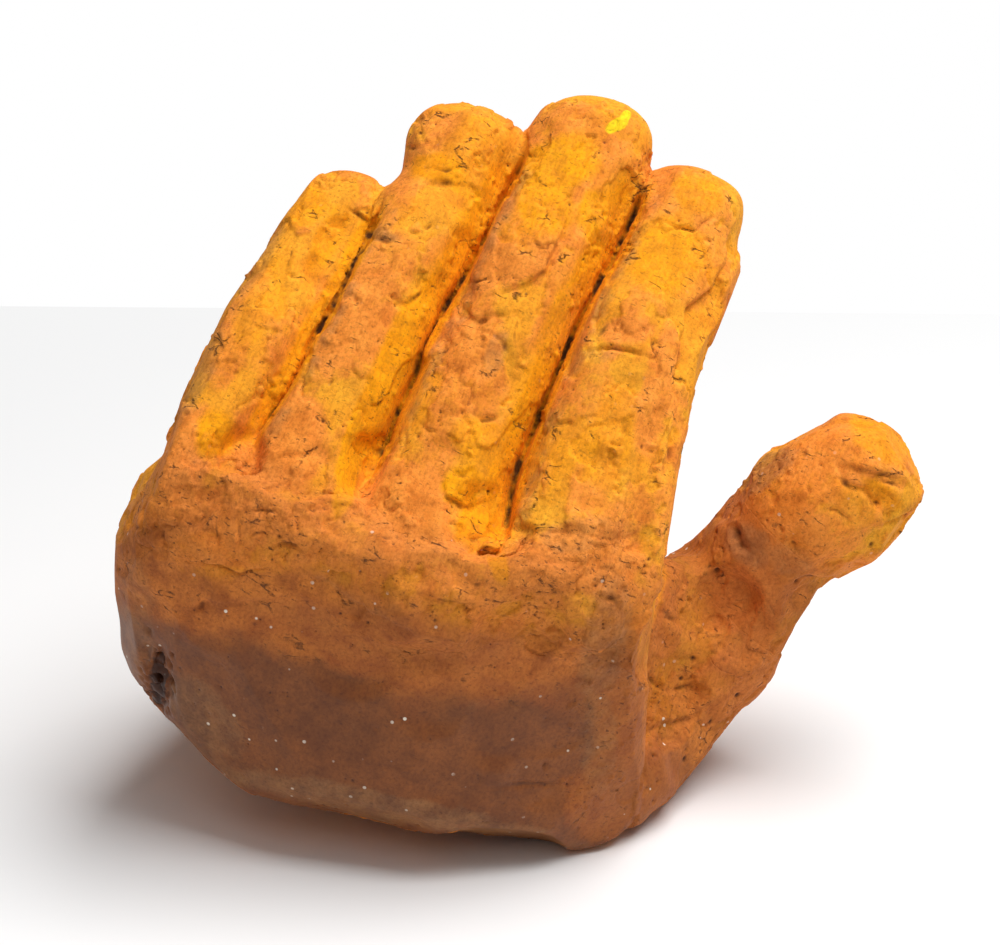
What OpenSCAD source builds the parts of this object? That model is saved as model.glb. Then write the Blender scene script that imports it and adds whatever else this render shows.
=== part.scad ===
// Cupped left hand in red clay, lying on its back, one and a third times life size.
// The hand is put together from separate lumps of clay, each modelled as its own solid:
// a back shell and a palm bowl, four fingers and a thumb seated in them, and the wads
// of clay that close the joints. X runs to the thumb's side, Y towards the wrist and
// Z up, with the origin on the table under the middle of the hand.

/* [Pose] */
// Lean of the fingers back over the palm, from upright
finger_lean = 34; // [20:1:45]
// Roll of the hand towards the thumb
hand_roll = 22; // [10:1:30]
// Bow of each finger towards the palm at its tip
finger_curl = 7; // [0:0.5:12]

/* [Fingers] */
// Length of the little finger above the knuckles
little_length = 77; // [60:0.5:90]
// Length of the ring finger above the knuckles
ring_length = 103; // [85:1:115]
// Length of the middle finger above the knuckles
middle_length = 116; // [100:1:130]
// Length of the index finger above the knuckles
index_length = 108; // [90:1:120]
// Width of the little finger at the knuckle
little_width = 19; // [16:0.5:24]
// Width of the ring finger at the knuckle
ring_width = 30.5; // [24:0.5:34]
// Width of the middle finger at the knuckle
middle_width = 32; // [26:0.5:36]
// Width of the index finger at the knuckle
index_width = 27.5; // [24:0.5:33]
// Thickness of a finger at the knuckle, from back to pad
finger_thickness = 30; // [22:0.5:36]
// How deep each finger root is seated in the hand
root_depth = 16; // [8:1:22]

/* [Thumb] */
// Thickness of the thumb from side to side
thumb_width = 34; // [26:1:42]
// Thickness of the thumb from back to pad
thumb_thickness = 31; // [24:1:38]
// How deep the thumb is seated in its mound
thumb_seat = 14; // [8:1:20]
// How deep the thumb tip's collar is seated on the shaft
tip_seat = 8; // [4:1:12]

/* [Palm] */
// Width of the palm's hollow
hollow_width = 84; // [60:1:96]
// Length of the palm's hollow from the fingers to the heel
hollow_length = 72; // [50:1:84]
// Height of the hollow's floor above the table
hollow_floor = 36; // [30:1:44]
// Thickness of the palm bowl under the hollow
bowl_wall = 16; // [12:0.5:20]
// Height of the pocket left between the back shell and the palm bowl
pocket_height = 30; // [20:1:34]
// Diameter of the needle hole that lets air out of the pocket
vent_d = 3; // [2:0.5:4]

/* [Wads] */
// Thickness of the band of clay smeared over the knuckles
band_thickness = 15; // [12:0.5:20]
// Thickness of the strip of clay along the side of the index finger
strip_thickness = 8; // [6:0.5:12]
// Length of the wrist plug
wrist_length = 13; // [8:1:20]

/* [Hidden] */
$fn = 24;
clay = "#b5622c";
dark_clay = "#8a4a28";
bright_clay = "#e08a2a";

// Slices of a squared-off oval: points round it, how thin each is and how square
slice_points = 24;
slice_t = 0.1;
finger_square = 2.3;
thumb_square = 2.3;
plug_square = 2.6;

// Moves the hand so that the origin is under the middle of the whole
middle_of_hand = [6.3, -7.6];

// Middle of the knuckle line, on the fingers' centre plane
knuckle_centre = [-16, -52, 82];
// Neighbouring fingers are pressed into each other by this much
finger_press = 2.4;
// Centre line of each finger at the knuckles, side by side from the middle finger
middle_x = -1.5;
ring_x = middle_x - (middle_width + ring_width) / 2;
little_x = ring_x - (ring_width + little_width) / 2;
index_x = middle_x + (middle_width + index_width) / 2;
// Height of each knuckle, and each tip's width and its step to the side
little_knuckle = -12;
ring_knuckle = -8;
middle_knuckle = -9;
index_knuckle = 3;
little_tip = 20;
ring_tip = 28.5;
middle_tip = 30;
index_tip = 28;
little_step = 7;
ring_step = 3.5;
middle_step = 0;
index_step = -2;
// Steps over a fingertip, as angles from its shoulder to its crown, and how far the
// crown leans towards the thumb
dome_angles = [0, 22, 40, 55, 68, 79, 90];
crown_lean = 3;

// Swellings and waists along each finger, from its knuckle towards its tip. Each station:
// share of the way to the shoulder, then the clay added on the little finger's side, on
// the thumb's side and on the back of the finger
little_swells = [
    [0, -2, 0, 0],
    [0.2, -1, 0, -0.5],
    [0.4, 0.4, 0, 0.4],
    [0.56, 1.6, 0, 1.2],
    [0.7, 1.2, 0, 0.4],
    [0.88, 1, 0, 0],
];
ring_swells = [
    [0, 0, 0, 0],
    [0.2, 0, 0, -1],
    [0.45, 0, 0, 0.6],
    [0.64, 0, 0, 1.6],
    [0.8, -1, 0.5, 0.4],
    [0.89, -3.6, 0.5, -1],
    [0.96, -1.6, 0.6, 0],
];
middle_swells = [
    [0, 0, 0, -0.5],
    [0.2, 0, 0, -1.6],
    [0.42, 0, 0, -0.6],
    [0.6, 0, 0, 0.4],
    [0.72, 0, 0, 2],
    [0.84, 0, 0, 0.4],
];
index_swells = [
    [0, 0, 0, 0],
    [0.22, 0, 0, -0.8],
    [0.48, 0, 0, 0.4],
    [0.68, 0, 0, 1.4],
    [0.82, 0.4, 0, 0.2],
    [0.94, 1, 0, -0.6],
];

// Thick wall of the body behind the knuckles: centre and radius of each ball of clay
knuckle_balls = [
    [[-66.5, -38, 75], 25],
    [[-50, -45, 76], 20],
    [[-20, -49, 70], 20],
    [[4, -52, 64], 18],
    [[32, -57, 72], 4],
];
back_balls = [
    [[27, -56, 52], 4],
    [[23, -54, 31], 4.5],
    [[-64, -28, 50], 28.5],
    [[-45, -20, 31], 28],
    [[-50, -40, 32], 22.6],
    [[-14, -30, 46], 41],
    [[-15, -34, 21], 21],
    [[-15, -52, 26], 18.4],
    [[19, -46, 14], 15],
];
// Balls that scoop out the torn hollow under the little finger's knuckle
torn_hollow = [
    [[-82, -58.5, 56], 6.5],
    [[-83, -55.5, 46], 7.5],
    [[-81, -54, 35], 6.5],
];
wrist_balls = [
    [[-34, 30, 24], 24],
    [[8, 30, 23], 23],
];
// Where the body is cut for the wrist, and the size and middle of the cut
wrist_seam_y = 46;
wrist_size = [76, 38];
wrist_centre = [-13, 24];
table_cut = 240;

// Centre of the palm's hollow, and its height above the hollow's floor
hollow_centre = [-15, 4];
hollow_rise = 50;
// Middle, plan size and floor height of the pocket
pocket_centre = [-15, -24];
pocket_size = [76, 46];
pocket_floor = 15;

// Foot of the thumb, its slant from upright, its reach and where its neck is
thumb_root = [54, -9, 38];
thumb_slant = 40;
thumb_reach = 68;
neck_at = 31;
neck_bow = 5;
tip_rounding = 18;

// Balls of the thumb's muscle, from the wrist up to the thumb and round its foot
thumb_balls = [
    [[18, 24, 30], 20],
    [[32, 8, 27], 21],
    [[42, -6, 27], 20],
    [[51, -9, 37], 18.5],
    [[53, -8, 44], 17.5],
];
thumb_foot_balls = [
    [[27, -39, 11], 12],
    [[31, -31, 15], 15.5],
    [[37, -20, 20], 18.5],
    [[44, -12, 27], 18.5],
    [[42, -6, 27], 20],
    [[20, 2, 24], 20],
];
// Balls of the heel of the hand, from the little finger's side round to the wrist
heel_balls = [
    [[-66, -16, 64], 17],
    [[-64, -4, 57], 18],
    [[-60, 8, 50], 19],
    [[-52, 18, 45], 20],
    [[-42, 27, 40], 19],
    [[-32, 33, 35], 17],
    [[-20, 34, 32], 15],
    [[-8, 33, 30], 13],
    [[0, 32, 28], 12],
];
// Edges of the wad in the thumb's web, on the body and on the thumb, and its thickness
web_body_edge = [[28, -26, 57], [29, -30, 46], [27, -32, 34], [24, -34, 24]];
web_thumb_edge = [[48, -12, 49], [48, -12, 42], [44, -15, 32], [40, -19, 24]];
web_thickness = 20;

// Stations of the knuckle band from the little finger to the index finger: places along
// the knuckles, then the height and depth of its upper and of its lower edge
band_x = [
    little_x - 1,
    little_x + 4,
    (little_x + ring_x) / 2,
    ring_x,
    (ring_x + middle_x) / 2,
    middle_x,
    (middle_x + index_x) / 2,
    index_x,
    index_x + 13,
];
band_top = [-12, -11, -9, -8, -7, -10, -5, 3, 6];
band_top_y = [-7, -9, -9.5, -9.5, -9.5, -9.5, -9.5, -9, -6];
band_foot = [-19, -19, -18, -17, -17, -19, -15, -7, -4];
band_foot_y = [-2, -4, -6, -6, -6, -6, -5, -4, -2];

// Stations of the index strip from the tip down: height, place outside the finger's side,
// and depth of its front and of its back edge
strip_z = [90, 78, 66, 54, 42, 31, 20, 10, 2, -6];
strip_out = [-3, -3, -3, -2, 0, 1.5, 4, 7, 8.5, 10];
strip_front_y = [3, -2, -4, -5, -5, -5, -4, -3, 0, 6];
strip_back_y = [7, 8, 8, 8, 9, 9, 11, 14, 17, 20];

// The value t of the way from a to b
function blend(a, b, t) = a + (b - a) * t;
// Raises the size of v to the power p and keeps its sign
function signed_power(v, p) = sign(v) * pow(abs(v), p);

// A thin slice with a squared-off oval outline
module slice(width, thickness, square) {
    linear_extrude(slice_t, center = true)
        polygon([
            for (i = [0 : slice_points - 1])
                [
                    width / 2 * signed_power(cos(360 * i / slice_points), 2 / square),
                    thickness / 2 * signed_power(sin(360 * i / slice_points), 2 / square),
                ]
        ]);
}

// The frame of the fingers: X along the knuckles, Y from backs to pads, Z to the tips
module in_hand_frame() {
    translate(knuckle_centre)
        rotate([-finger_lean, 0, 0])
            rotate([0, hand_roll, 0])
                children();
}

// Puts a piece where it lies on the table
module placed() {
    translate([-middle_of_hand.x, -middle_of_hand.y, 0])
        children();
}

module ball_hull(balls) {
    hull()
        for (b = balls)
            translate(b[0])
                sphere(b[1]);
}

// A rolled coil of clay: each ball skinned to the next
module coil(balls) {
    for (i = [0 : len(balls) - 2])
        ball_hull([balls[i], balls[i + 1]]);
}

// A flat strap of clay between two edges, one radius thick all along
module strap(edge, other_edge, radius) {
    for (i = [0 : len(edge) - 2])
        ball_hull([
            for (p = [edge[i], edge[i + 1], other_edge[i], other_edge[i + 1]])
                [p, radius]
        ]);
}

// One finger from its seated root, bent into the hand, to its domed tip
module finger(x, knuckle, length, width, tip_step, tip_width, swells) {
    dome = tip_width * 0.44;
    shoulder = length - dome;
    bare = shoulder - knuckle;
    // Each station: [x, y, z, width, thickness]
    stations = concat(
        [
            for (t = [1, 0.5])
                [
                    x,
                    t * root_depth * 0.6,
                    knuckle - t * root_depth,
                    width * (1 - 0.4 * t),
                    finger_thickness * (1 - 0.4 * t),
                ]
        ],
        [
            for (s = swells)
                [
                    x + tip_step * s[0] + (s[2] - s[1]) / 2,
                    finger_curl * s[0] * s[0] - s[3] / 2,
                    knuckle + s[0] * bare,
                    blend(width + finger_press, tip_width, s[0]) + s[1] + s[2],
                    blend(finger_thickness, tip_width, s[0]) + s[3],
                ]
        ],
        [
            for (a = dome_angles)
                [
                    x + tip_step + crown_lean * pow(sin(a), 2),
                    finger_curl,
                    shoulder + dome * pow(sin(a), 2 / finger_square),
                    tip_width * max(0.1, pow(cos(a), 2 / finger_square)),
                    tip_width * max(0.1, pow(cos(a), 2 / finger_square)),
                ]
        ]
    );
    in_hand_frame()
        for (i = [0 : len(stations) - 2])
            hull()
                for (s = [stations[i], stations[i + 1]])
                    translate([s[0], s[1], s[2]])
                        slice(s[3], s[4], finger_square);
}

module little_form() {
    finger(little_x, little_knuckle, little_length, little_width, little_step, little_tip, little_swells);
}

module ring_form() {
    finger(ring_x, ring_knuckle, ring_length, ring_width, ring_step, ring_tip, ring_swells);
}

module middle_form() {
    finger(middle_x, middle_knuckle, middle_length, middle_width, middle_step, middle_tip, middle_swells);
}

module index_form() {
    finger(index_x, index_knuckle, index_length, index_width, index_step, index_tip, index_swells);
}

module fingers_form() {
    little_form();
    ring_form();
    middle_form();
    index_form();
}

// Outside of the hand's body, cut off at the wrist and flat where it lies on the table
module body_form() {
    intersection() {
        ball_hull(concat(knuckle_balls, back_balls, wrist_balls));
        translate([-table_cut / 2, wrist_seam_y - table_cut, 0])
            cube(table_cut);
    }
}

// The palm's hollow, grown by a wall all round
module bowl_form(wall) {
    translate([hollow_centre.x, hollow_centre.y, hollow_floor + hollow_rise])
        scale([hollow_width / 2 + wall, hollow_length / 2 + wall, hollow_rise + wall])
            sphere(1, $fn = 32);
}

// Air left between the shell and the bowl, so that no clay is too thick to fire
module pocket_form() {
    translate([pocket_centre.x, pocket_centre.y, pocket_floor + pocket_height / 2])
        scale([pocket_size.x, pocket_size.y, pocket_height] / 2)
            sphere(1);
}

// Skins thumb stations, each [height, share of width, share of thickness, bow], in turn
module limb(stations) {
    translate(thumb_root)
        rotate([0, thumb_slant, 0])
            for (i = [0 : len(stations) - 2])
                hull()
                    for (s = [stations[i], stations[i + 1]])
                        translate([s[3], 0, s[0]])
                            slice(thumb_width * s[1], thumb_thickness * s[2], thumb_square);
}

module shaft_form() {
    limb([
        [-thumb_seat, 0.8, 0.8, 4],
        [-thumb_seat / 2, 1.02, 1.0, 2],
        [0, 1.12, 1.1, 0],
        [9, 1.07, 1.04, -1.5],
        [18, 1, 1, -3],
        [neck_at - 4, 0.96, 0.97, -neck_bow],
        [neck_at + 3, 0.94, 0.95, 1 - neck_bow],
        [neck_at + 6, 0.88, 0.9, -3],
        [neck_at + 8, 0.8, 0.82, -3],
    ]);
}

module tip_form() {
    collar = neck_at + 8 - tip_seat;
    limb([
        [collar, 0.97, 1, -4.2],
        [collar + 4, 1.04, 1.08, -4],
        [neck_at + 11, 1.09, 1.12, -3.2],
        [thumb_reach - tip_rounding, 1.08, 1.08, -1.8],
        [thumb_reach - 0.55 * tip_rounding, 0.97, 0.97, -1.2],
        [thumb_reach - 0.28 * tip_rounding, 0.8, 0.84, -0.8],
        [thumb_reach - 0.08 * tip_rounding, 0.55, 0.6, -0.2],
        [thumb_reach, 0.25, 0.28, 0],
    ]);
}

module thumb_mound_form() {
    coil(thumb_balls);
    coil(thumb_foot_balls);
}

module heel_mound_form() {
    coil(heel_balls);
}

module web_form() {
    strap(web_body_edge, web_thumb_edge, web_thickness / 2);
}

// Strap pressed over the finger roots; its lower edge tucks in under the knuckles
module band_form() {
    stations = [0 : len(band_x) - 1];
    in_hand_frame()
        strap(
            [for (i = stations) [band_x[i], band_top_y[i], band_top[i]]],
            [for (i = stations) [band_x[i], band_foot_y[i], band_foot[i]]],
            band_thickness / 2
        );
}

// Strap pressed along the outer side of the index finger, and down onto the body
module strip_form() {
    side = index_x + index_width / 2;
    stations = [0 : len(strip_z) - 1];
    in_hand_frame()
        strap(
            [for (i = stations) [side + strip_out[i], strip_front_y[i], strip_z[i]]],
            [for (i = stations) [side + strip_out[i], strip_back_y[i], strip_z[i]]],
            strip_thickness / 2
        );
}

// Disc that closes the wrist, its rim drawn in towards the end
module plug_form() {
    steps = 8;
    translate([wrist_centre.x, wrist_seam_y, wrist_centre.y])
        rotate([-90, 0, 0])
            for (i = [0 : steps - 1])
                hull()
                    for (t = [i / steps, (i + 1) / steps])
                        translate([0, 0, slice_t / 2 + t * (wrist_length - slice_t)])
                            slice(
                                wrist_size.x * (1 - 0.12 * pow(t, 3)),
                                wrist_size.y * (1 - 0.16 * pow(t, 3)),
                                plug_square
                            );
}

module back_shell() {
    color(dark_clay) placed()
        difference() {
            body_form();
            bowl_form(bowl_wall);
            pocket_form();
            fingers_form();
            coil(torn_hollow);
            translate([pocket_centre.x, pocket_centre.y, -1])
                cylinder(d = vent_d, h = pocket_floor + 4);
        }
}

module palm_bowl() {
    color(clay) placed()
        difference() {
            intersection() {
                body_form();
                bowl_form(bowl_wall);
            }
            bowl_form(0);
            fingers_form();
        }
}

module wrist_plug() {
    color(clay) placed()
        plug_form();
}

module heel_mound() {
    color(clay) placed()
        difference() {
            heel_mound_form();
            body_form();
            plug_form();
            bowl_form(0);
            fingers_form();
        }
}

module thumb_mound() {
    color(clay) placed()
        difference() {
            thumb_mound_form();
            body_form();
            bowl_form(0);
            shaft_form();
            translate([-table_cut / 2, -table_cut / 2, -table_cut])
                cube(table_cut);
        }
}

module thumb_shaft() {
    color(clay) placed()
        difference() {
            shaft_form();
            body_form();
        }
}

module thumb_tip() {
    color(bright_clay) placed()
        difference() {
            tip_form();
            shaft_form();
        }
}

module little_finger() {
    color(bright_clay) placed()
        difference() {
            little_form();
            ring_form();
        }
}

module ring_finger() {
    color(bright_clay) placed()
        difference() {
            ring_form();
            middle_form();
        }
}

module middle_finger() {
    color(bright_clay) placed()
        middle_form();
}

module index_finger() {
    color(bright_clay) placed()
        difference() {
            index_form();
            middle_form();
        }
}

module knuckle_band() {
    color(clay) placed()
        difference() {
            band_form();
            body_form();
            fingers_form();
        }
}

module index_strip() {
    color(bright_clay) placed()
        difference() {
            strip_form();
            body_form();
            fingers_form();
            band_form();
        }
}

module web_wad() {
    color(clay) placed()
        difference() {
            web_form();
            body_form();
            bowl_form(0);
            fingers_form();
            thumb_mound_form();
            shaft_form();
            strip_form();
        }
}

back_shell();
palm_bowl();
wrist_plug();
heel_mound();
thumb_mound();
thumb_shaft();
thumb_tip();
little_finger();
ring_finger();
middle_finger();
index_finger();
knuckle_band();
index_strip();
web_wad();
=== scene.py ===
"""A cupped left hand of fired red clay, hand-built from coils and wads, lying on its back.

The CAD nodes are joined into one body of clay, which is worked over as a maker works it: its
joints are smoothed, its faces pressed flat, and skins, cracks, pits and crumbs are added. It is
then cut back into the pieces that the maker joined. Sizes are in millimetres up to the last
step, because a maker thinks in them, and every finished mesh is in metres.
"""

import logging
import math
from dataclasses import dataclass, field
from enum import Enum

import bmesh
import bpy
import numpy as np
from mathutils import Euler, Matrix, Vector
from mathutils.kdtree import KDTree


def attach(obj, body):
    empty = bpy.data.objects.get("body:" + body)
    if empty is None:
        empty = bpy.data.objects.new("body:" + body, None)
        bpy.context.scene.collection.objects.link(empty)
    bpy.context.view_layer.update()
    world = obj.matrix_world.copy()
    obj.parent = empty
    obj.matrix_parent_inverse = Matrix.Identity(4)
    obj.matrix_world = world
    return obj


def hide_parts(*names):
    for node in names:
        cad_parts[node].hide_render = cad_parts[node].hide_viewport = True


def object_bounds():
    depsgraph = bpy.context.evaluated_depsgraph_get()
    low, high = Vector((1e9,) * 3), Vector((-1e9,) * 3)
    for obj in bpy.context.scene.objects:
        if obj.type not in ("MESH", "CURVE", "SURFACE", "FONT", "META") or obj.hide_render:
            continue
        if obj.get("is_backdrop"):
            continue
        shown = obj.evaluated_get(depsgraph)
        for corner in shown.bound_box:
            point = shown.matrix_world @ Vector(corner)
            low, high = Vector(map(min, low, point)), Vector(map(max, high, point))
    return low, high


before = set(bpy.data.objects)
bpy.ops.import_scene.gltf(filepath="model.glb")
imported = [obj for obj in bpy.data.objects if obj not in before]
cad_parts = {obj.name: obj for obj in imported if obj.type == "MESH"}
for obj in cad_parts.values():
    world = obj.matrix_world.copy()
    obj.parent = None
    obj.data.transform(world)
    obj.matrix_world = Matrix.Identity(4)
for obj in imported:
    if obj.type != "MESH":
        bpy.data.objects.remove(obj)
log = logging.getLogger("clay_hand")

MM = 0.001

Track = tuple[tuple[float, float], ...]


def linear_colour(code: str) -> tuple[float, float, float, float]:
    """Turn an sRGB hex colour into the linear colour that a shader socket takes.

    Args:
        code: Six hex digits after a hash, such as "#b0602c".

    Returns:
        Linear red, green, blue and an alpha of 1.
    """
    parts = [int(code[i : i + 2], 16) / 255 for i in (1, 3, 5)]
    red, green, blue = (c / 12.92 if c <= 0.04045 else ((c + 0.055) / 1.055) ** 2.4 for c in parts)
    return (red, green, blue, 1.0)


def ease(low: float, high: float, value: np.ndarray) -> np.ndarray:
    """Rise smoothly from 0 at low to 1 at high.

    Args:
        low: Value that gives 0.
        high: Value that gives 1; it may be below low, which turns the slope round.
        value: Values to ease.

    Returns:
        An array of the same shape, from 0 to 1.
    """
    t = np.clip((value - low) / (high - low), 0.0, 1.0)
    return t * t * (3.0 - 2.0 * t)


def add_object(name: str, mesh: bpy.types.Mesh) -> bpy.types.Object:
    """Put a mesh into the scene as an object at the origin.

    Args:
        name: Name of the object.
        mesh: Its mesh.

    Returns:
        The new object.
    """
    obj = bpy.data.objects.new(name, mesh)
    bpy.context.scene.collection.objects.link(obj)
    return obj


def mesh_from(bm: bmesh.types.BMesh, name: str) -> bpy.types.Mesh:
    """Turn a bmesh into a mesh, and free it.

    Args:
        bm: The bmesh.
        name: Name for the mesh.

    Returns:
        The new mesh.
    """
    mesh = bpy.data.meshes.new(name)
    bm.to_mesh(mesh)
    bm.free()
    return mesh


def copied_clay(*nodes: str) -> bmesh.types.BMesh:
    """Copy some CAD nodes into one bmesh, in millimetres, with each of their corners once.

    Args:
        *nodes: Names of the nodes, which stay as they are.

    Returns:
        The new bmesh.
    """
    bm = bmesh.new()
    for node in nodes:
        bm.from_mesh(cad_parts[node].data)
    bmesh.ops.scale(bm, vec=Vector((1, 1, 1)) / MM, verts=bm.verts)
    bmesh.ops.remove_doubles(bm, verts=bm.verts, dist=0.001)
    return bm


def read(parts: object, name: str, width: int = 1, kind: type = np.int32) -> np.ndarray:
    """Read one property of all the parts of a mesh.

    Args:
        parts: The parts, such as the mesh's edges.
        name: Name of the property.
        width: How many numbers the property has.
        kind: The type in which Blender keeps them.

    Returns:
        One row for each part, or one number where the width is 1.
    """
    values = np.empty(len(parts) * width, dtype=kind)
    parts.foreach_get(name, values)
    return values.reshape(-1, width) if width > 1 else values


def applied(obj: bpy.types.Object, name: str) -> bpy.types.Mesh:
    """Read an object's mesh with its modifiers applied, and remove the object.

    Args:
        obj: A scratch object with live modifiers.
        name: Name for the new mesh.

    Returns:
        The new mesh.
    """
    graph = bpy.context.evaluated_depsgraph_get()
    mesh = bpy.data.meshes.new_from_object(obj.evaluated_get(graph))
    mesh.name = name
    old = obj.data
    bpy.data.objects.remove(obj)
    if old.users == 0:
        bpy.data.meshes.remove(old)
    return mesh


def remeshed(mesh: bpy.types.Mesh, grain: float, name: str) -> bpy.types.Mesh:
    """Rebuild a mesh as one closed skin of even quads.

    Args:
        mesh: Mesh in millimetres; it is used up.
        grain: Size of a quad, in millimetres.
        name: Name for the new mesh.

    Returns:
        The new mesh.
    """
    obj = add_object(name, mesh)
    modifier = obj.modifiers.new("even_quads", "REMESH")
    modifier.mode = "VOXEL"
    modifier.voxel_size = grain
    modifier.adaptivity = 0.0
    return applied(obj, name)


@dataclass(frozen=True)
class LimbFrame:
    """A frame that lies along the fingers or along the thumb."""

    origin: tuple[float, float, float]
    turn: Matrix

    def local(self, points: np.ndarray) -> np.ndarray:
        """Points of the row frame, as places in this frame."""
        return (points - np.array(self.origin)) @ np.array(self.turn)

    def axis(self, index: int) -> np.ndarray:
        """Direction of one of this frame's axes in the row frame."""
        return np.array(self.turn.col[index])

    def matrix(self) -> Matrix:
        """This frame as one matrix."""
        return Matrix.Translation(Vector(self.origin)) @ self.turn.to_4x4()


def turned(about_x: float, about_y: float) -> Matrix:
    """A turn about Y and then about X, in degrees."""
    lean = Matrix.Rotation(math.radians(about_x), 3, "X")
    return lean @ Matrix.Rotation(math.radians(about_y), 3, "Y")


# Along the fingers: X across the knuckles, Y from the backs of the fingers to their pads.
HAND = LimbFrame(origin=(-22.3, -44.4, 82.0), turn=turned(-34.0, 22.0))
# Along the thumb, from its root to its tip.
THUMB = LimbFrame(origin=(47.7, -1.4, 38.0), turn=turned(0.0, 40.0))


@dataclass(frozen=True)
class PictureFrame:
    """The photograph's view of the hand, which places the marks that it shows."""

    width: float = 1000.0
    height: float = 945.0
    lens: float = 85.0
    sensor: float = 36.0
    elevation: float = 22.0
    distance: float = 590.3
    look_at: tuple[float, float, float] = (-6.3, 7.6, 77.7)

    def forward(self) -> np.ndarray:
        """Direction of the view."""
        tilt = math.radians(self.elevation)
        return np.array([0.0, math.cos(tilt), -math.sin(tilt)])

    def upward(self) -> np.ndarray:
        """Direction that is up in the picture."""
        tilt = math.radians(self.elevation)
        return np.array([0.0, math.sin(tilt), math.cos(tilt)])

    def eye(self) -> np.ndarray:
        """Place of the camera, in millimetres."""
        return np.array(self.look_at) - self.distance * self.forward()

    def project(self, points: np.ndarray) -> np.ndarray:
        """Find where points stand in the picture.

        Args:
            points: Points in the row frame, in millimetres.

        Returns:
            Columns across and down, in pixels from the upper left corner.
        """
        focal = self.width * self.lens / self.sensor
        away = points - self.eye()
        depth = away @ self.forward()
        across = self.width / 2 + focal * away[:, 0] / depth
        down = self.height / 2 - focal * (away @ self.upward()) / depth
        return np.column_stack((across, down))

    def scale(self) -> float:
        """Millimetres to a pixel at the middle of the hand."""
        return self.distance * self.sensor / (self.width * self.lens)


PICTURE = PictureFrame()


# Places across the hand along the ridge of its knuckles, and the ridge's heights there
RIDGE_ACROSS = (-70, -45, -15, 15, 45)
RIDGE_HEIGHT = (-16, -8, -9, -8, 4)
# Heights along the edge where the back turns to the thumb's side, and the edge's places there
EDGE_HEIGHT = (-60, -26, -18, -11, 4, 30)
EDGE_ACROSS = (72, 62.5, 60.5, 58, 54, 52)


def ridge_height(across: np.ndarray) -> np.ndarray:
    """Height of the knuckle ridge in the hand's frame, at places across the knuckles."""
    return np.interp(across, RIDGE_ACROSS, RIDGE_HEIGHT)


def back_edge(height: np.ndarray) -> np.ndarray:
    """Place across the hand of the edge where its back turns to the thumb's side."""
    return np.interp(height, EDGE_HEIGHT, EDGE_ACROSS)


class ClayNoise:
    """Seeded gradient noise, which is the same at every run."""

    def __init__(self, seed: int) -> None:
        """Draw the noise's table.

        Args:
            seed: Number of the table.
        """
        dice = np.random.default_rng(seed)
        self.order = np.tile(dice.permutation(256), 2)
        slopes = dice.normal(size=(256, 3))
        self.slopes = slopes / np.linalg.norm(slopes, axis=1, keepdims=True)

    def at(self, points: np.ndarray, size: float) -> np.ndarray:
        """Read the noise.

        Args:
            points: Where to read it.
            size: Size of one bump, in the points' own units.

        Returns:
            One value for each point, from about -1 to 1.
        """
        scaled = points / size
        cell = np.floor(scaled).astype(np.int64)
        part = scaled - cell
        cell &= 255
        fade = part**3 * (part * (part * 6.0 - 15.0) + 10.0)
        total = np.zeros(len(points))
        for corner in np.ndindex(2, 2, 2):
            step = np.array(corner)
            key = self.order[(cell[:, 0] + step[0]) & 255]
            key = self.order[key + ((cell[:, 1] + step[1]) & 255) & 511]
            key = self.order[key + ((cell[:, 2] + step[2]) & 255) & 511]
            slope = np.einsum("ij,ij->i", self.slopes[key], part - step)
            total += slope * np.prod(np.where(step, fade, 1.0 - fade), axis=1)
        return total * 1.7

    def layers(self, points: np.ndarray, size: float, count: int, gain: float = 0.5) -> np.ndarray:
        """Add up octaves of the noise.

        Args:
            points: Where to read it.
            size: Size of the largest bumps.
            count: Number of octaves; each is half the size of the one before.
            gain: Strength of each octave against the one before.

        Returns:
            One value for each point, from about -1 to 1.
        """
        total = np.zeros(len(points))
        strength = whole = 0.0
        for octave in range(count):
            strength = gain**octave
            total += strength * self.at(points + 37.0 * octave, size / 2**octave)
            whole += strength
        return total / whole


class Mask(Enum):
    """What a material can read off each point of the clay."""

    FILM = "film"
    RAW = "raw"
    BROWN = "brown"
    # Burnished brown, deepened down the lower back as painted shade; it also makes the clay less rough
    BURNISH_AND_SHADE = "burnish"
    # Grey-brown: rubbed clay, painted shade on the left flanks of the fingers and thumb, and painted sheen
    # along the lower back's bottom edge
    GREY_RUB_AND_SHEEN = "grey"
    # Painted shade in pits, cracks, the bottoms of the grooves and under lifted skins of clay
    CREVICE_SHADE = "pit"
    ROUGH = "rough"
    # A painted highlight along the sharp edge of the back
    EDGE = "edge"
    PAINT = "paint"


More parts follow.
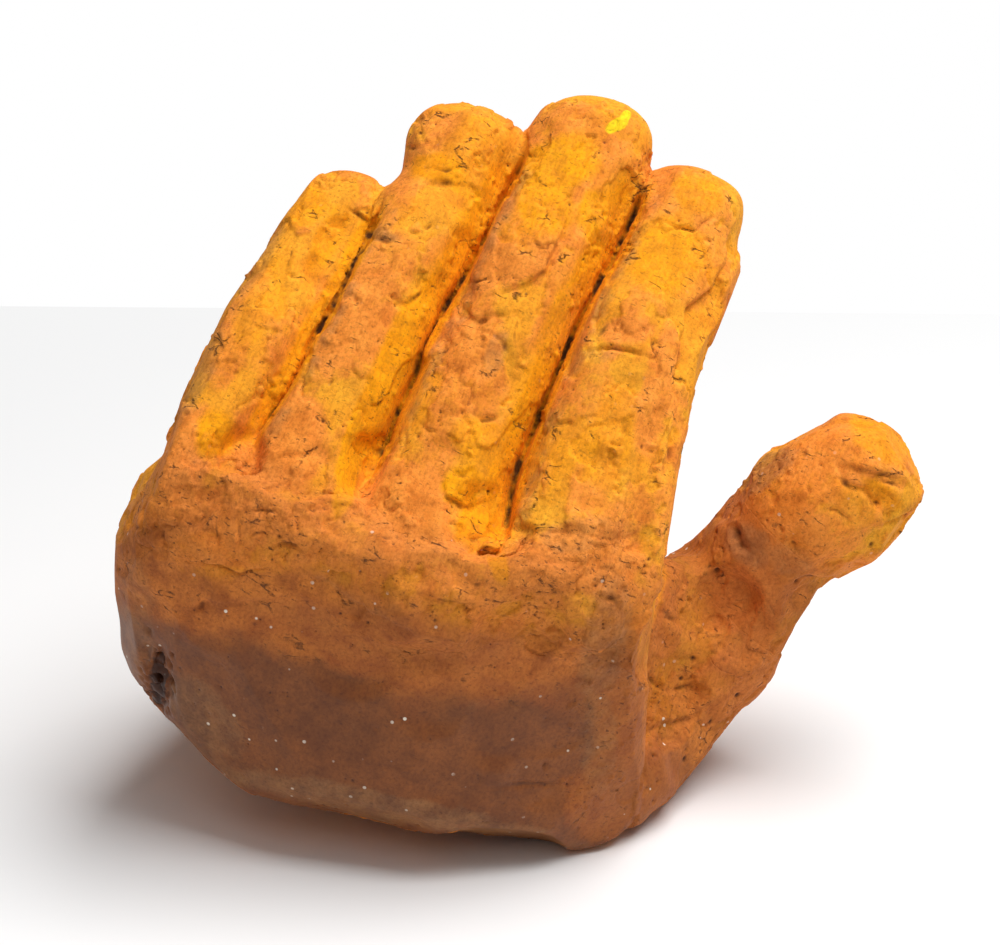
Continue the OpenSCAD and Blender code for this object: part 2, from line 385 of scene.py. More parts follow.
@dataclass
class Skin:
    """The clay's surface, as arrays in millimetres, while it is being worked."""

    mesh: bpy.types.Mesh
    points: np.ndarray = field(init=False)
    normals: np.ndarray = field(init=False)
    edges: np.ndarray = field(init=False)
    masks: dict[Mask, np.ndarray] = field(init=False)

    def __post_init__(self) -> None:
        """Read the mesh into the arrays."""
        self.points = read(self.mesh.vertices, "co", 3, np.float32).astype(float)
        self.edges = read(self.mesh.edges, "vertices", 2)
        self.masks = {mask: np.zeros(len(self.points)) for mask in Mask}
        self.settle()

    def settle(self) -> None:
        """Write the points back to the mesh, and read its normals."""
        self.mesh.vertices.foreach_set("co", self.points.astype(np.float32).ravel())
        self.mesh.update()
        self.normals = read(self.mesh.vertex_normals, "vector", 3, np.float32).astype(float)

    def averaged(self, values: np.ndarray) -> np.ndarray:
        """Average some values over each point's neighbours.

        Args:
            values: One number or one place for each point.

        Returns:
            The averages, in an array of the same shape.
        """
        count = len(self.points)
        first, second = self.edges.T
        ties = np.bincount(first, minlength=count) + np.bincount(second, minlength=count)
        columns = values.reshape(count, -1).T
        sums = [
            np.bincount(first, weights=column[second], minlength=count)
            + np.bincount(second, weights=column[first], minlength=count)
            for column in columns
        ]
        means = np.column_stack(sums) / np.maximum(ties, 1)[:, None]
        return means.reshape(values.shape)

    def smooth(self, rounds: int, amount: np.ndarray | float = 1.0, keep_size: bool = True) -> None:
        """Smooth the points.

        Args:
            rounds: How many times each point moves towards its neighbours.
            amount: Strength from 0 to 1, for all points or for each.
            keep_size: Whether each round also moves the points back out, so that only fine
                forms go and the size stays.
        """
        share = np.broadcast_to(np.asarray(amount, dtype=float), (len(self.points),))[:, None]
        for _ in range(rounds):
            self.points += 0.6 * share * (self.averaged(self.points) - self.points)
            if keep_size:
                self.points -= 0.62 * share * (self.averaged(self.points) - self.points)
        self.settle()

    def keep_inside(self, low: np.ndarray, high: np.ndarray) -> None:
        """Press everything that stands out of a box, in millimetres, flat against its sides."""
        self.points = np.clip(self.points, low, high)
        self.settle()

    def raise_by(self, height: np.ndarray) -> None:
        """Move every point along its normal by a height in millimetres."""
        self.points += self.normals * height[:, None]
        self.settle()

    def spread(self, mask: Mask, values: np.ndarray, at: np.ndarray | slice = slice(None)) -> None:
        """Keep the larger of a mask and some new values, at some points or at all of them."""
        self.masks[mask][at] = np.maximum(self.masks[mask][at], np.clip(values, 0.0, 1.0))


@dataclass(frozen=True)
class Region:
    """Soft areas of the hand, each from 0 to 1 at every point."""

    fingers: np.ndarray
    knuckles: np.ndarray
    back: np.ndarray
    thumb: np.ndarray
    under: np.ndarray


def find_regions(skin: Skin) -> Region:
    """Work out the areas of the hand from the frames of the fingers and the thumb.

    Args:
        skin: The clay.

    Returns:
        The areas at the clay's points.
    """
    # Each pair of numbers is a soft border, in millimetres or as the cosine of a slope
    hand = HAND.local(skin.points)
    thumb = THUMB.local(skin.points)
    outwards = -(skin.normals @ HAND.axis(1))
    radius = np.hypot(thumb[:, 0], thumb[:, 1])
    limb = ease(34.0, 26.0, radius) * ease(-14.0, 0.0, thumb[:, 2])
    side = ease(-0.5, 1.5, hand[:, 0] - back_edge(hand[:, 2])) * ease(30.0, 14.0, hand[:, 2])
    in_thumb = np.maximum(limb, side)
    body = 1.0 - in_thumb
    ridge = ridge_height(hand[:, 0])
    fingers = ease(-4.0, 8.0, hand[:, 2] - ridge) * body
    near_front = ease(12.0, -2.0, hand[:, 1])
    knuckles = ease(17.0, 6.0, np.abs(hand[:, 2] - ridge + 1.0)) * near_front * body
    back = ease(-6.0, -17.0, hand[:, 2] - ridge) * body * ease(44.0, 30.0, skin.points[:, 1])
    in_palm = ease(6.0, 16.0, hand[:, 1]) * ease(0.05, -0.2, outwards) * ease(30.0, 10.0, hand[:, 2])
    return Region(
        fingers=fingers,
        knuckles=knuckles,
        back=back * (1.0 - in_palm * body),
        thumb=in_thumb,
        under=ease(-0.75, -0.95, skin.normals[:, 2]) * ease(6.0, 1.0, skin.points[:, 2]),
    )


@dataclass
class ClayBody:
    """All the clay of the hand in one skin, before it is cut back into its pieces."""

    coarse_grain: float = 1.2
    fine_grain: float = 0.5
    quick_grain: float = 0.8
    pocket_centre: tuple[float, float, float] = (-21.3, -16.4, 30.0)
    pocket_size: tuple[float, float, float] = (76.0, 46.0, 30.0)
    vent_width: float = 3.0

    def pocket(self, vent_to: float) -> bpy.types.Mesh:
        """Model the air pocket under the palm with its needle hole.

        Args:
            vent_to: Height at which the hole ends, in millimetres.

        Returns:
            The pocket and the hole as two closed forms in one mesh.
        """
        bm = bmesh.new()
        place = Matrix.Translation(Vector(self.pocket_centre))
        size = Matrix.Diagonal(Vector((*self.pocket_size, 1.0)))
        bmesh.ops.create_icosphere(bm, subdivisions=4, radius=0.5, matrix=place @ size)
        height = self.pocket_centre[2] - vent_to
        middle = Vector((self.pocket_centre[0], self.pocket_centre[1], vent_to + height / 2))
        bmesh.ops.create_cone(
            bm,
            cap_ends=True,
            segments=24,
            radius1=self.vent_width / 2,
            radius2=self.vent_width / 2,
            depth=height,
            matrix=Matrix.Translation(middle),
        )
        return mesh_from(bm, "air_pocket")

    def joined(self) -> bpy.types.Mesh:
        """Join copies of all the CAD nodes, with the air pocket filled in.

        Returns:
            All their closed forms in one mesh, in millimetres.
        """
        bm = copied_clay(*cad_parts)
        filling = self.pocket(vent_to=0.2)
        bm.from_mesh(filling)
        bpy.data.meshes.remove(filling)
        return mesh_from(bm, "joined_clay")

    def skin(self) -> Skin:
        """Build the smoothed skin on which the marks are made.

        Returns:
            The skin, at its working fineness.
        """
        rough = Skin(largest_island(remeshed(self.joined(), self.coarse_grain, "first_skin")))
        rough.smooth(24)
        across, _, height = HAND.local(rough.points).T
        strip = ease(36.0, 43.0, across) * ease(-8.0, 4.0, height) * ease(112.0, 100.0, height)
        rough.smooth(10, strip, keep_size=False)
        grain = self.fine_grain
        fine = Skin(largest_island(remeshed(rough.mesh, grain, "clay_skin")))
        fine.smooth(3, keep_size=False)
        log.info("skin of clay: %d points", len(fine.points))
        return fine


def largest_island(mesh: bpy.types.Mesh, least: float = 0.02) -> bpy.types.Mesh:
    """Remove the loose crumbs of a mesh.

    Args:
        mesh: Mesh to clean.
        least: Share of the mesh's points under which an island counts as a crumb.

    Returns:
        The same mesh.
    """
    count = len(mesh.vertices)
    first, second = read(mesh.edges, "vertices", 2).T
    label = np.arange(count)
    while True:
        lowest = np.minimum(label[first], label[second])
        fresh = label.copy()
        np.minimum.at(fresh, first, lowest)
        np.minimum.at(fresh, second, lowest)
        fresh = fresh[fresh]
        if np.array_equal(fresh, label):
            break
        label = fresh
    _, place, sizes = np.unique(label, return_inverse=True, return_counts=True)
    loose = np.flatnonzero(sizes[place] < least * count)
    if len(loose):
        bm = bmesh.new()
        bm.from_mesh(mesh)
        bm.verts.ensure_lookup_table()
        bmesh.ops.delete(bm, geom=[bm.verts[int(i)] for i in loose], context="VERTS")
        bm.to_mesh(mesh)
        bm.free()
        log.info("removed %d loose points", len(loose))
    return mesh


@dataclass(frozen=True)
class Stroke:
    """A line that the photograph shows, drawn over the clay in pixels of the picture.

    Seen along the track, from its first point to its last, the right side may drop away as the
    lower side of a torn skin of clay.
    """

    track: Track
    width: float = 0.5
    depth: float = 0.9
    lip: float = 0.0
    drop: float = 0.0
    reach: float = 5.0
    # By default the line's dip is darkened with painted shade
    mask: Mask | None = Mask.CREVICE_SHADE
    shade: float = 0.7


@dataclass(frozen=True)
class Patch:
    """A blot that the photograph shows, as an ellipse in pixels of the picture."""

    mask: Mask
    middle: tuple[float, float]
    radii: tuple[float, float]
    turn: float = 0.0
    shade: float = 1.0
    height: float = 0.0
    ragged: float = 0.35


@dataclass(frozen=True)
class Groove:
    """A valley between two fingers, in the frame of the hand."""

    heights: tuple[float, ...]
    across: tuple[float, ...]
    foot: float
    top: float
    left_slope: float
    right_slope: float
    depth: float
    slot: float

    def offset(self, hand: np.ndarray) -> np.ndarray:
        """How far points stand to the right of the valley's line."""
        return hand[:, 0] - np.interp(hand[:, 2], self.heights, self.across)


GROOVES = (
    # Between the little finger and the ring finger
    Groove(
        heights=(-4, 18, 42, 66),
        across=(-46, -43.5, -41.5, -40),
        foot=-6.0,
        top=74.0,
        left_slope=6.0,
        right_slope=3.5,
        depth=3.4,
        slot=2.2,
    ),
    # Between the ring finger and the middle finger
    Groove(
        heights=(-4, 18, 40, 54, 67, 93),
        across=(-17.7, -18, -18.2, -17.3, -16, -15),
        foot=-3.0,
        top=98.0,
        left_slope=10.0,
        right_slope=3.4,
        depth=4.8,
        slot=3.2,
    ),
    # Between the middle finger and the index finger
    Groove(
        heights=(-2, 24, 40, 64, 78, 97),
        across=(17, 12.2, 12.6, 12.6, 14.3, 14.3),
        foot=-4.0,
        top=103.0,
        left_slope=10.0,
        right_slope=4.0,
        depth=4.8,
        slot=3.4,
    ),
)


class Workbench:
    """The clay under the maker's hands: every way of marking it."""

    def __init__(self, skin: Skin, seed: int) -> None:
        """Lay the clay out.

        Args:
            skin: The clay.
            seed: Seed of all random marks.
        """
        self.skin = skin
        self.dice = np.random.default_rng(seed)
        self.noise = ClayNoise(seed)
        self.height = np.zeros(len(skin.points))
        self.refresh()

    def refresh(self) -> None:
        """Work out again what depends on where the points are."""
        skin = self.skin
        self.hand = HAND.local(skin.points)
        self.region = find_regions(skin)
        self.place = PICTURE.project(skin.points)
        self.seen = ease(0.02, 0.2, -(skin.normals @ PICTURE.forward()))
        self.tree = KDTree(len(skin.points))
        for index, point in enumerate(skin.points.tolist()):
            self.tree.insert(point, index)
        self.tree.balance()

    def settle(self) -> None:
        """Raise the clay by the heights gathered so far."""
        self.skin.raise_by(self.height)
        self.height[:] = 0.0

    def near(self, centre: np.ndarray, radius: float) -> tuple[np.ndarray, np.ndarray]:
        """Find the points round a place.

        Args:
            centre: The place.
            radius: How far to look, in millimetres.

        Returns:
            The points' indices and their distances.
        """
        found = self.tree.find_range(centre, radius)
        index = np.array([item[1] for item in found], dtype=int)
        return index, np.array([item[2] for item in found])

    def draw(self, weights: np.ndarray, count: int) -> np.ndarray:
        """Draw random points of the clay.

        Args:
            weights: How likely each point is.
            count: How many to draw.

        Returns:
            Their indices.
        """
        share = np.clip(weights, 0.0, None)
        return self.dice.choice(len(share), size=count, p=share / share.sum())

    def tangents(self, index: int) -> tuple[np.ndarray, np.ndarray]:
        """Find two directions along the clay, square to each other, the first at random.

        Args:
            index: The point.

        Returns:
            The two directions.
        """
        normal = self.skin.normals[index]
        first = np.cross(normal, self.dice.normal(size=3))
        first /= np.linalg.norm(first)
        return first, np.cross(normal, first)

    def press_flats(self, weights: np.ndarray, count: int, radii: tuple, depths: tuple) -> None:
        """Press flat places into the clay, as with a thumb or a slat.

        Args:
            weights: Where they are likely.
            count: How many.
            radii: Smallest and largest radius, in millimetres.
            depths: Shallowest and deepest, in millimetres.
        """
        for index in self.draw(weights, count):
            radius = self.dice.uniform(*radii)
            near, distance = self.near(self.skin.points[index], radius)
            facing = self.skin.normals[near] @ self.skin.normals[index]
            near, distance = near[facing > 0.3], distance[facing > 0.3]
            normal = self.skin.normals[near].mean(axis=0)
            normal /= np.linalg.norm(normal)
            level = self.skin.points[index] - normal * self.dice.uniform(*depths)
            above = np.clip((self.skin.points[near] - level) @ normal, 0.0, None)
            self.skin.points[near] -= normal * (above * ease(radius, radius * 0.55, distance))[:, None]
        self.skin.settle()

    def carve_groove(self, groove: Groove) -> None:
        """Carve the valley between two fingers, on their backs and on their pads.

        Args:
            groove: The valley.
        """
        hand = HAND.local(self.skin.points)
        wander = 0.8 * self.noise.at(self.skin.points, 14.0)
        offset = groove.offset(hand) + wander
        slope = np.where(offset < 0.0, groove.left_slope, groove.right_slope)
        length = ease(groove.foot, groove.foot + 22.0, hand[:, 2])
        length = length * ease(groove.top, groove.top - 12.0, hand[:, 2])
        front = ease(2.0, -4.0, hand[:, 1]) * length * (1.0 - self.region.thumb)
        pads = ease(-2.0, 4.0, hand[:, 1]) * ease(24.0, 40.0, hand[:, 2]) * length
        wide = np.clip(1.0 - np.abs(offset) / slope, 0.0, 1.0) ** 1.4
        broken = ease(-0.35, 0.25, self.noise.layers(self.skin.points, 7.0, 3, gain=0.7))
        narrow = np.exp(-((offset / 0.7) ** 2)) * ease(0.0, 0.6, length)
        push = groove.depth * wide + groove.slot * narrow
        self.skin.points += (push * (front - 0.6 * pads))[:, None] * HAND.axis(1)
        # Bright raw clay on the slopes, which also paints the warm light that bounces between the fingers
        self.skin.spread(Mask.RAW, ease(0.0, 0.5, wide) * (front + 0.6 * pads))
        # Painted shade along the bottom of the valley
        self.skin.spread(Mask.CREVICE_SHADE, 0.8 * narrow * np.maximum(0.5, broken) * (front + pads))
        self.skin.spread(Mask.ROUGH, 0.7 * ease(0.3, 0.9, wide) * (front + pads))
        # Painted grey shade on the left-facing flank of the finger to the right of the valley
        flank_shade = ease(1.4, 3.0, offset) * ease(6.5, 4.0, offset) * front
        self.skin.spread(Mask.GREY_RUB_AND_SHEEN, 0.75 * flank_shade * broken)

    def flakes(self, weights: np.ndarray, seed: int, size: float, height: float, share: float) -> None:
        """Lay torn skins of smeared clay over the surface, with ragged edges.

        Args:
            weights: Where they lie, from 0 to 1.
            seed: Seed of their shapes.
            size: Their breadth, in millimetres.
            height: Their thickness, in millimetres.
            share: Noise level above which the clay is covered; 0 covers half.
        """
        noise = ClayNoise(seed)
        stretched = self.hand * np.array([1.0, 1.0, 0.55])
        ragged = 0.10 * noise.at(self.skin.points, 3.2) + 0.06 * noise.at(self.skin.points, 1.5)
        level = noise.layers(stretched, size, 3) + ragged - share
        cover = ease(-0.025, 0.035, level)
        self.height += height * (cover - 0.5) * weights
        film = 0.3 * cover + 0.6 * ease(-0.35, 0.35, level + 0.3 * noise.at(self.skin.points, 7.0))
        self.skin.masks[Mask.FILM] += weights * (film - self.skin.masks[Mask.FILM]) * 0.85
        lifted = ease(0.05, 0.3, noise.at(self.skin.points + 11.0, 6.0))
        lip = np.exp(-(((level + 0.03) / 0.035) ** 2)) * lifted * weights
        self.height -= 0.35 * lip
        # A painted shadow under the lifted lip
        self.skin.spread(Mask.CREVICE_SHADE, 0.4 * lip)

    def scars(self, weights: np.ndarray, count: int, radii: tuple, depth: float, raw: float) -> None:
        """Leave the dents where a thumb tore clay away: deep at one edge, flat at the other.

        Args:
            weights: Where they are likely.
            count: How many.
            radii: Smallest and largest radius, in millimetres.
            depth: Depth at the torn edge, in millimetres.
            raw: How much they bare the raw clay.
        """
        for index in self.draw(weights, count):
            radius = self.dice.uniform(*radii)
            near, _ = self.near(self.skin.points[index], radius * 1.35)
            facing = self.skin.normals[near] @ self.skin.normals[index]
            near = near[facing > 0.2]
            first, second = self.tangents(index)
            away = self.skin.points[near] - self.skin.points[index]
            along, across = away @ first / radius, away @ second / radius * self.dice.uniform(0.9, 1.6)
            ragged = 0.16 * self.noise.at(self.skin.points[near], 3.0)
            reach = np.hypot(along, across) + ragged
            inside = ease(1.0, 1.0 - 0.9 / radius, reach)
            slope = np.clip((along + 1.0) / 2.0, 0.0, 1.0) ** 1.5
            self.height[near] -= depth * self.dice.uniform(0.5, 1.2) * inside * slope
            bared = raw * inside * slope
            self.skin.masks[Mask.FILM][near] *= 1.0 - 0.8 * bared
            self.skin.spread(Mask.RAW, bared, near)

    def cracks(self, weights: np.ndarray, count: int, steps: tuple, depth: float) -> None:
        """Open short drying cracks that wander over the clay.

        Args:
            weights: Where they are likely.
            count: How many.
            steps: Fewest and most steps of about a millimetre.
            depth: Their depth, in millimetres.
        """
        for index in self.draw(weights, count):
            direction, _ = self.tangents(index)
            place = index
            size = self.dice.uniform(0.35, 0.55)
            length = int(self.dice.integers(*steps))
            for step in range(length):
                near, distance = self.near(self.skin.points[place], 2.2)
                taper = math.sin(math.pi * (step + 0.6) / (length + 0.2))
                cut = taper * np.exp(-((distance / size) ** 2))
                self.height[near] = np.minimum(self.height[near], -depth * cut)
                # Painted shade down in the crack
                self.skin.spread(Mask.CREVICE_SHADE, 0.65 * cut, near)
                normal = self.skin.normals[place]
                direction = direction + 0.7 * self.dice.normal(size=3)
                direction -= normal * (direction @ normal)
                direction /= np.linalg.norm(direction)
                _, place, _ = self.tree.find(self.skin.points[place] + 1.0 * direction)

    def pits(self, weights: np.ndarray, count: int, radii: tuple, depth: float) -> None:
        """Prick small pits where grog fell out.

        Args:
            weights: Where they are likely.
            count: How many.
            radii: Smallest and largest radius, in millimetres.
            depth: Depth of the larger ones, in millimetres.
        """
        for index in self.draw(weights, count):
            radius = self.dice.uniform(*radii)
            near, distance = self.near(self.skin.points[index], radius * 2.0)
            cut = np.exp(-((distance / radius) ** 2)) * self.dice.uniform(0.4, 1.0)
            self.height[near] -= depth * cut
            # Painted shade inside the pit
            self.skin.spread(Mask.CREVICE_SHADE, 0.8 * cut, near)

    def crumbs(self, weights: np.ndarray, count: int, radii: tuple, height: float) -> None:
        """Stick crumbs of clay to the surface.

        Args:
            weights: Where they are likely.
            count: How many.
            radii: Smallest and largest radius, in millimetres.
            height: Height of the larger ones, in millimetres.
        """
        for index in self.draw(weights, count):
            radius = self.dice.uniform(*radii)
            near, distance = self.near(self.skin.points[index], radius * 1.6)
            rise = height * self.dice.uniform(0.4, 1.0)
            self.height[near] += rise * ease(radius * 1.3, radius * 0.4, distance)

    def trace(self, stroke: Stroke, limb: np.ndarray) -> None:
        """Draw one line of the photograph into the clay.

        Args:
            stroke: The line.
            limb: Share of each point that the line may mark.
        """
        track = np.array(stroke.track, dtype=float)
        margin = (stroke.reach + 3.0) / PICTURE.scale()
        low, high = track.min(axis=0) - margin, track.max(axis=0) + margin
        inside = np.all((self.place > low) & (self.place < high), axis=1) & (limb * self.seen > 0.02)
        index = np.flatnonzero(inside)
        points = self.skin.points[index]
        wobble = np.column_stack((self.noise.at(points, 4.0), self.noise.at(points + 50.0, 4.0)))
        place = self.place[index] + wobble * 2.2
        best = np.full(len(index), 1e9)
        side = np.zeros(len(index))
        share = np.zeros(len(index))
        lengths = np.linalg.norm(np.diff(track, axis=0), axis=1)
        done = np.concatenate(([0.0], np.cumsum(lengths)))
        for number, length in enumerate(lengths):
            start, run = track[number], track[number + 1] - track[number]
            away = place - start
            part = np.clip(away @ run / length**2, 0.0, 1.0)
            gap = away - part[:, None] * run
            distance = np.hypot(gap[:, 0], gap[:, 1])
            closer = distance < best
            best = np.where(closer, distance, best)
            turn = run[0] * away[:, 1] - run[1] * away[:, 0]
            side = np.where(closer, np.sign(turn), side)
            share = np.where(closer, (done[number] + part * length) / done[-1], share)
        distance = best * PICTURE.scale()
        taper = np.sqrt(np.clip(np.sin(math.pi * np.clip(share, 0.02, 0.98)), 0.0, 1.0))
        allowed = limb[index] * self.seen[index]
        broken = 0.65 + 0.35 * self.noise.at(points, 2.5)
        line = np.exp(-((distance / stroke.width) ** 2)) * taper * broken
        fall = ease(stroke.reach, 0.0, distance) * taper
        step = np.where(side > 0, -stroke.drop * fall, stroke.lip * fall**2)
        near_line = ease(0.0, 0.5, distance)
        self.height[index] += allowed * (step * near_line - stroke.depth * line)
        if stroke.mask is not None:
            wide = np.exp(-((distance / (stroke.width + 0.2)) ** 2)) * taper * broken
            self.skin.spread(stroke.mask, stroke.shade * wide * allowed, index)

    def blot(self, patch: Patch, limb: np.ndarray) -> None:
        """Lay one blot of the photograph over the clay.

        Args:
            patch: The blot.
            limb: Share of each point that it may mark.
        """
        away = self.place - np.array(patch.middle)
        angle = math.radians(patch.turn)
        along = (away[:, 0] * math.cos(angle) + away[:, 1] * math.sin(angle)) / patch.radii[0]
        across = (-away[:, 0] * math.sin(angle) + away[:, 1] * math.cos(angle)) / patch.radii[1]
        index = np.flatnonzero((np.hypot(along, across) < 1.8) & (limb * self.seen > 0.02))
        points = self.skin.points[index]
        ragged = self.noise.layers(points + 5.0, 7.0, 3, gain=0.6)
        reach = np.hypot(along[index], across[index]) + patch.ragged * ragged
        inside = ease(1.3, 0.7, reach) * limb[index] * self.seen[index]
        mask = self.skin.masks[patch.mask]
        mask[index] += (patch.shade - mask[index]) * inside
        self.height[index] += patch.height * inside

    def draw_marks(self, strokes: tuple[Stroke, ...], blots: tuple[Patch, ...], limb: np.ndarray) -> None:
        """Draw lines and then blots of the photograph.

        Args:
            strokes: The lines.
            blots: The blots.
            limb: Share of each point that they may mark.
        """
        for stroke in strokes:
            self.trace(stroke, limb)
        for patch in blots:
            self.blot(patch, limb)


def cutter_mesh(name: str, bm: bmesh.types.BMesh) -> bpy.types.Mesh:
    """Turn a bmesh into a cutter, whose faces leave the inner clay's material.

    Args:
        name: Name for the cutter.
        bm: The bmesh, which is used up.

    Returns:
        The cutter.
    """
    for face in bm.faces:
        face.material_index = 1
    return mesh_from(bm, name)


def box_cutter(limb: LimbFrame, low: tuple, high: tuple) -> bpy.types.Mesh:
    """Model a cutter box that lies square in a limb's frame.

    Args:
        limb: The frame.
        low: Its lowest corner there, in millimetres.
        high: Its highest corner there.

    Returns:
        The cutter.
    """
    bm = bmesh.new()
    middle = Matrix.Translation((Vector(low) + Vector(high)) / 2)
    size = Matrix.Diagonal((*(Vector(high) - Vector(low)), 1.0))
    bmesh.ops.create_cube(bm, size=1.0, matrix=limb.matrix() @ middle @ size)
    return cutter_mesh("box_cutter", bm)


def ball_cutter(centre: tuple, radii: tuple) -> bpy.types.Mesh:
    """Model a cutter ball.

    Args:
        centre: Its centre, in millimetres.
        radii: Its three radii.

    Returns:
        The cutter.
    """
    bm = bmesh.new()
    matrix = Matrix.Translation(centre) @ Matrix.Diagonal((*radii, 1.0))
    bmesh.ops.create_icosphere(bm, subdivisions=5, radius=1.0, matrix=matrix)
    return cutter_mesh("ball_cutter", bm)


def node_cutter(node: str, swell: float) -> bpy.types.Mesh:
    """Model a cutter from a copy of a CAD node, swollen a little.

    Args:
        node: Name of the node.
        swell: How far its faces move out, in millimetres.

    Returns:
        The cutter.
    """
    copy = mesh_from(copied_clay(node), node + "_copy")
    even = Skin(remeshed(copy, 2.0, node + "_even"))
    even.raise_by(np.full(len(even.points), swell))
    even.smooth(4, keep_size=False)
    bm = bmesh.new()
    bm.from_mesh(even.mesh)
    bpy.data.meshes.remove(even.mesh)
    return cutter_mesh(node + "_cutter", bm)


class Cut(Enum):
    """What a cutter leaves of the clay."""

    INSIDE = "INTERSECT"
    OUTSIDE = "DIFFERENCE"
    BOTH = "UNION"


def boolean(mesh: bpy.types.Mesh, cutter: bpy.types.Mesh, cut: Cut, name: str) -> bpy.types.Mesh:
    """Cut one closed mesh by another.

    Args:
        mesh: Mesh to cut; it is kept.
        cutter: The cutter; it is kept.
        cut: What is left of the mesh.
        name: Name for the new mesh.

    Returns:
        The new mesh.
    """
    body = add_object(name, mesh.copy())
    knife = add_object("knife", cutter)
    modifier = body.modifiers.new("cut", "BOOLEAN")
    modifier.operation = cut.value
    modifier.solver = "MANIFOLD"
    modifier.object = knife
    made = applied(body, name)
    bpy.data.objects.remove(knife)
    return made


@dataclass
class Clay:
    """What is left of the body of clay while the pieces are cut off it one by one."""

    rest: bpy.types.Mesh

    def take(self, name: str, knife: bpy.types.Mesh) -> bpy.types.Mesh:
        """Cut a piece off.

        Args:
            name: Name of the piece.
            knife: The piece is what lies inside this cutter.

        Returns:
            The piece's mesh.
        """
        piece = boolean(self.rest, knife, Cut.INSIDE, name)
        old, self.rest = self.rest, boolean(self.rest, knife, Cut.OUTSIDE, "rest")
        bpy.data.meshes.remove(old)
        log.info("%s: %d points cut off", name, len(piece.vertices))
        return piece


@dataclass(frozen=True)
class Piece:
    """One finished piece of clay, before it is dressed."""

    node: str
    mesh: bpy.types.Mesh


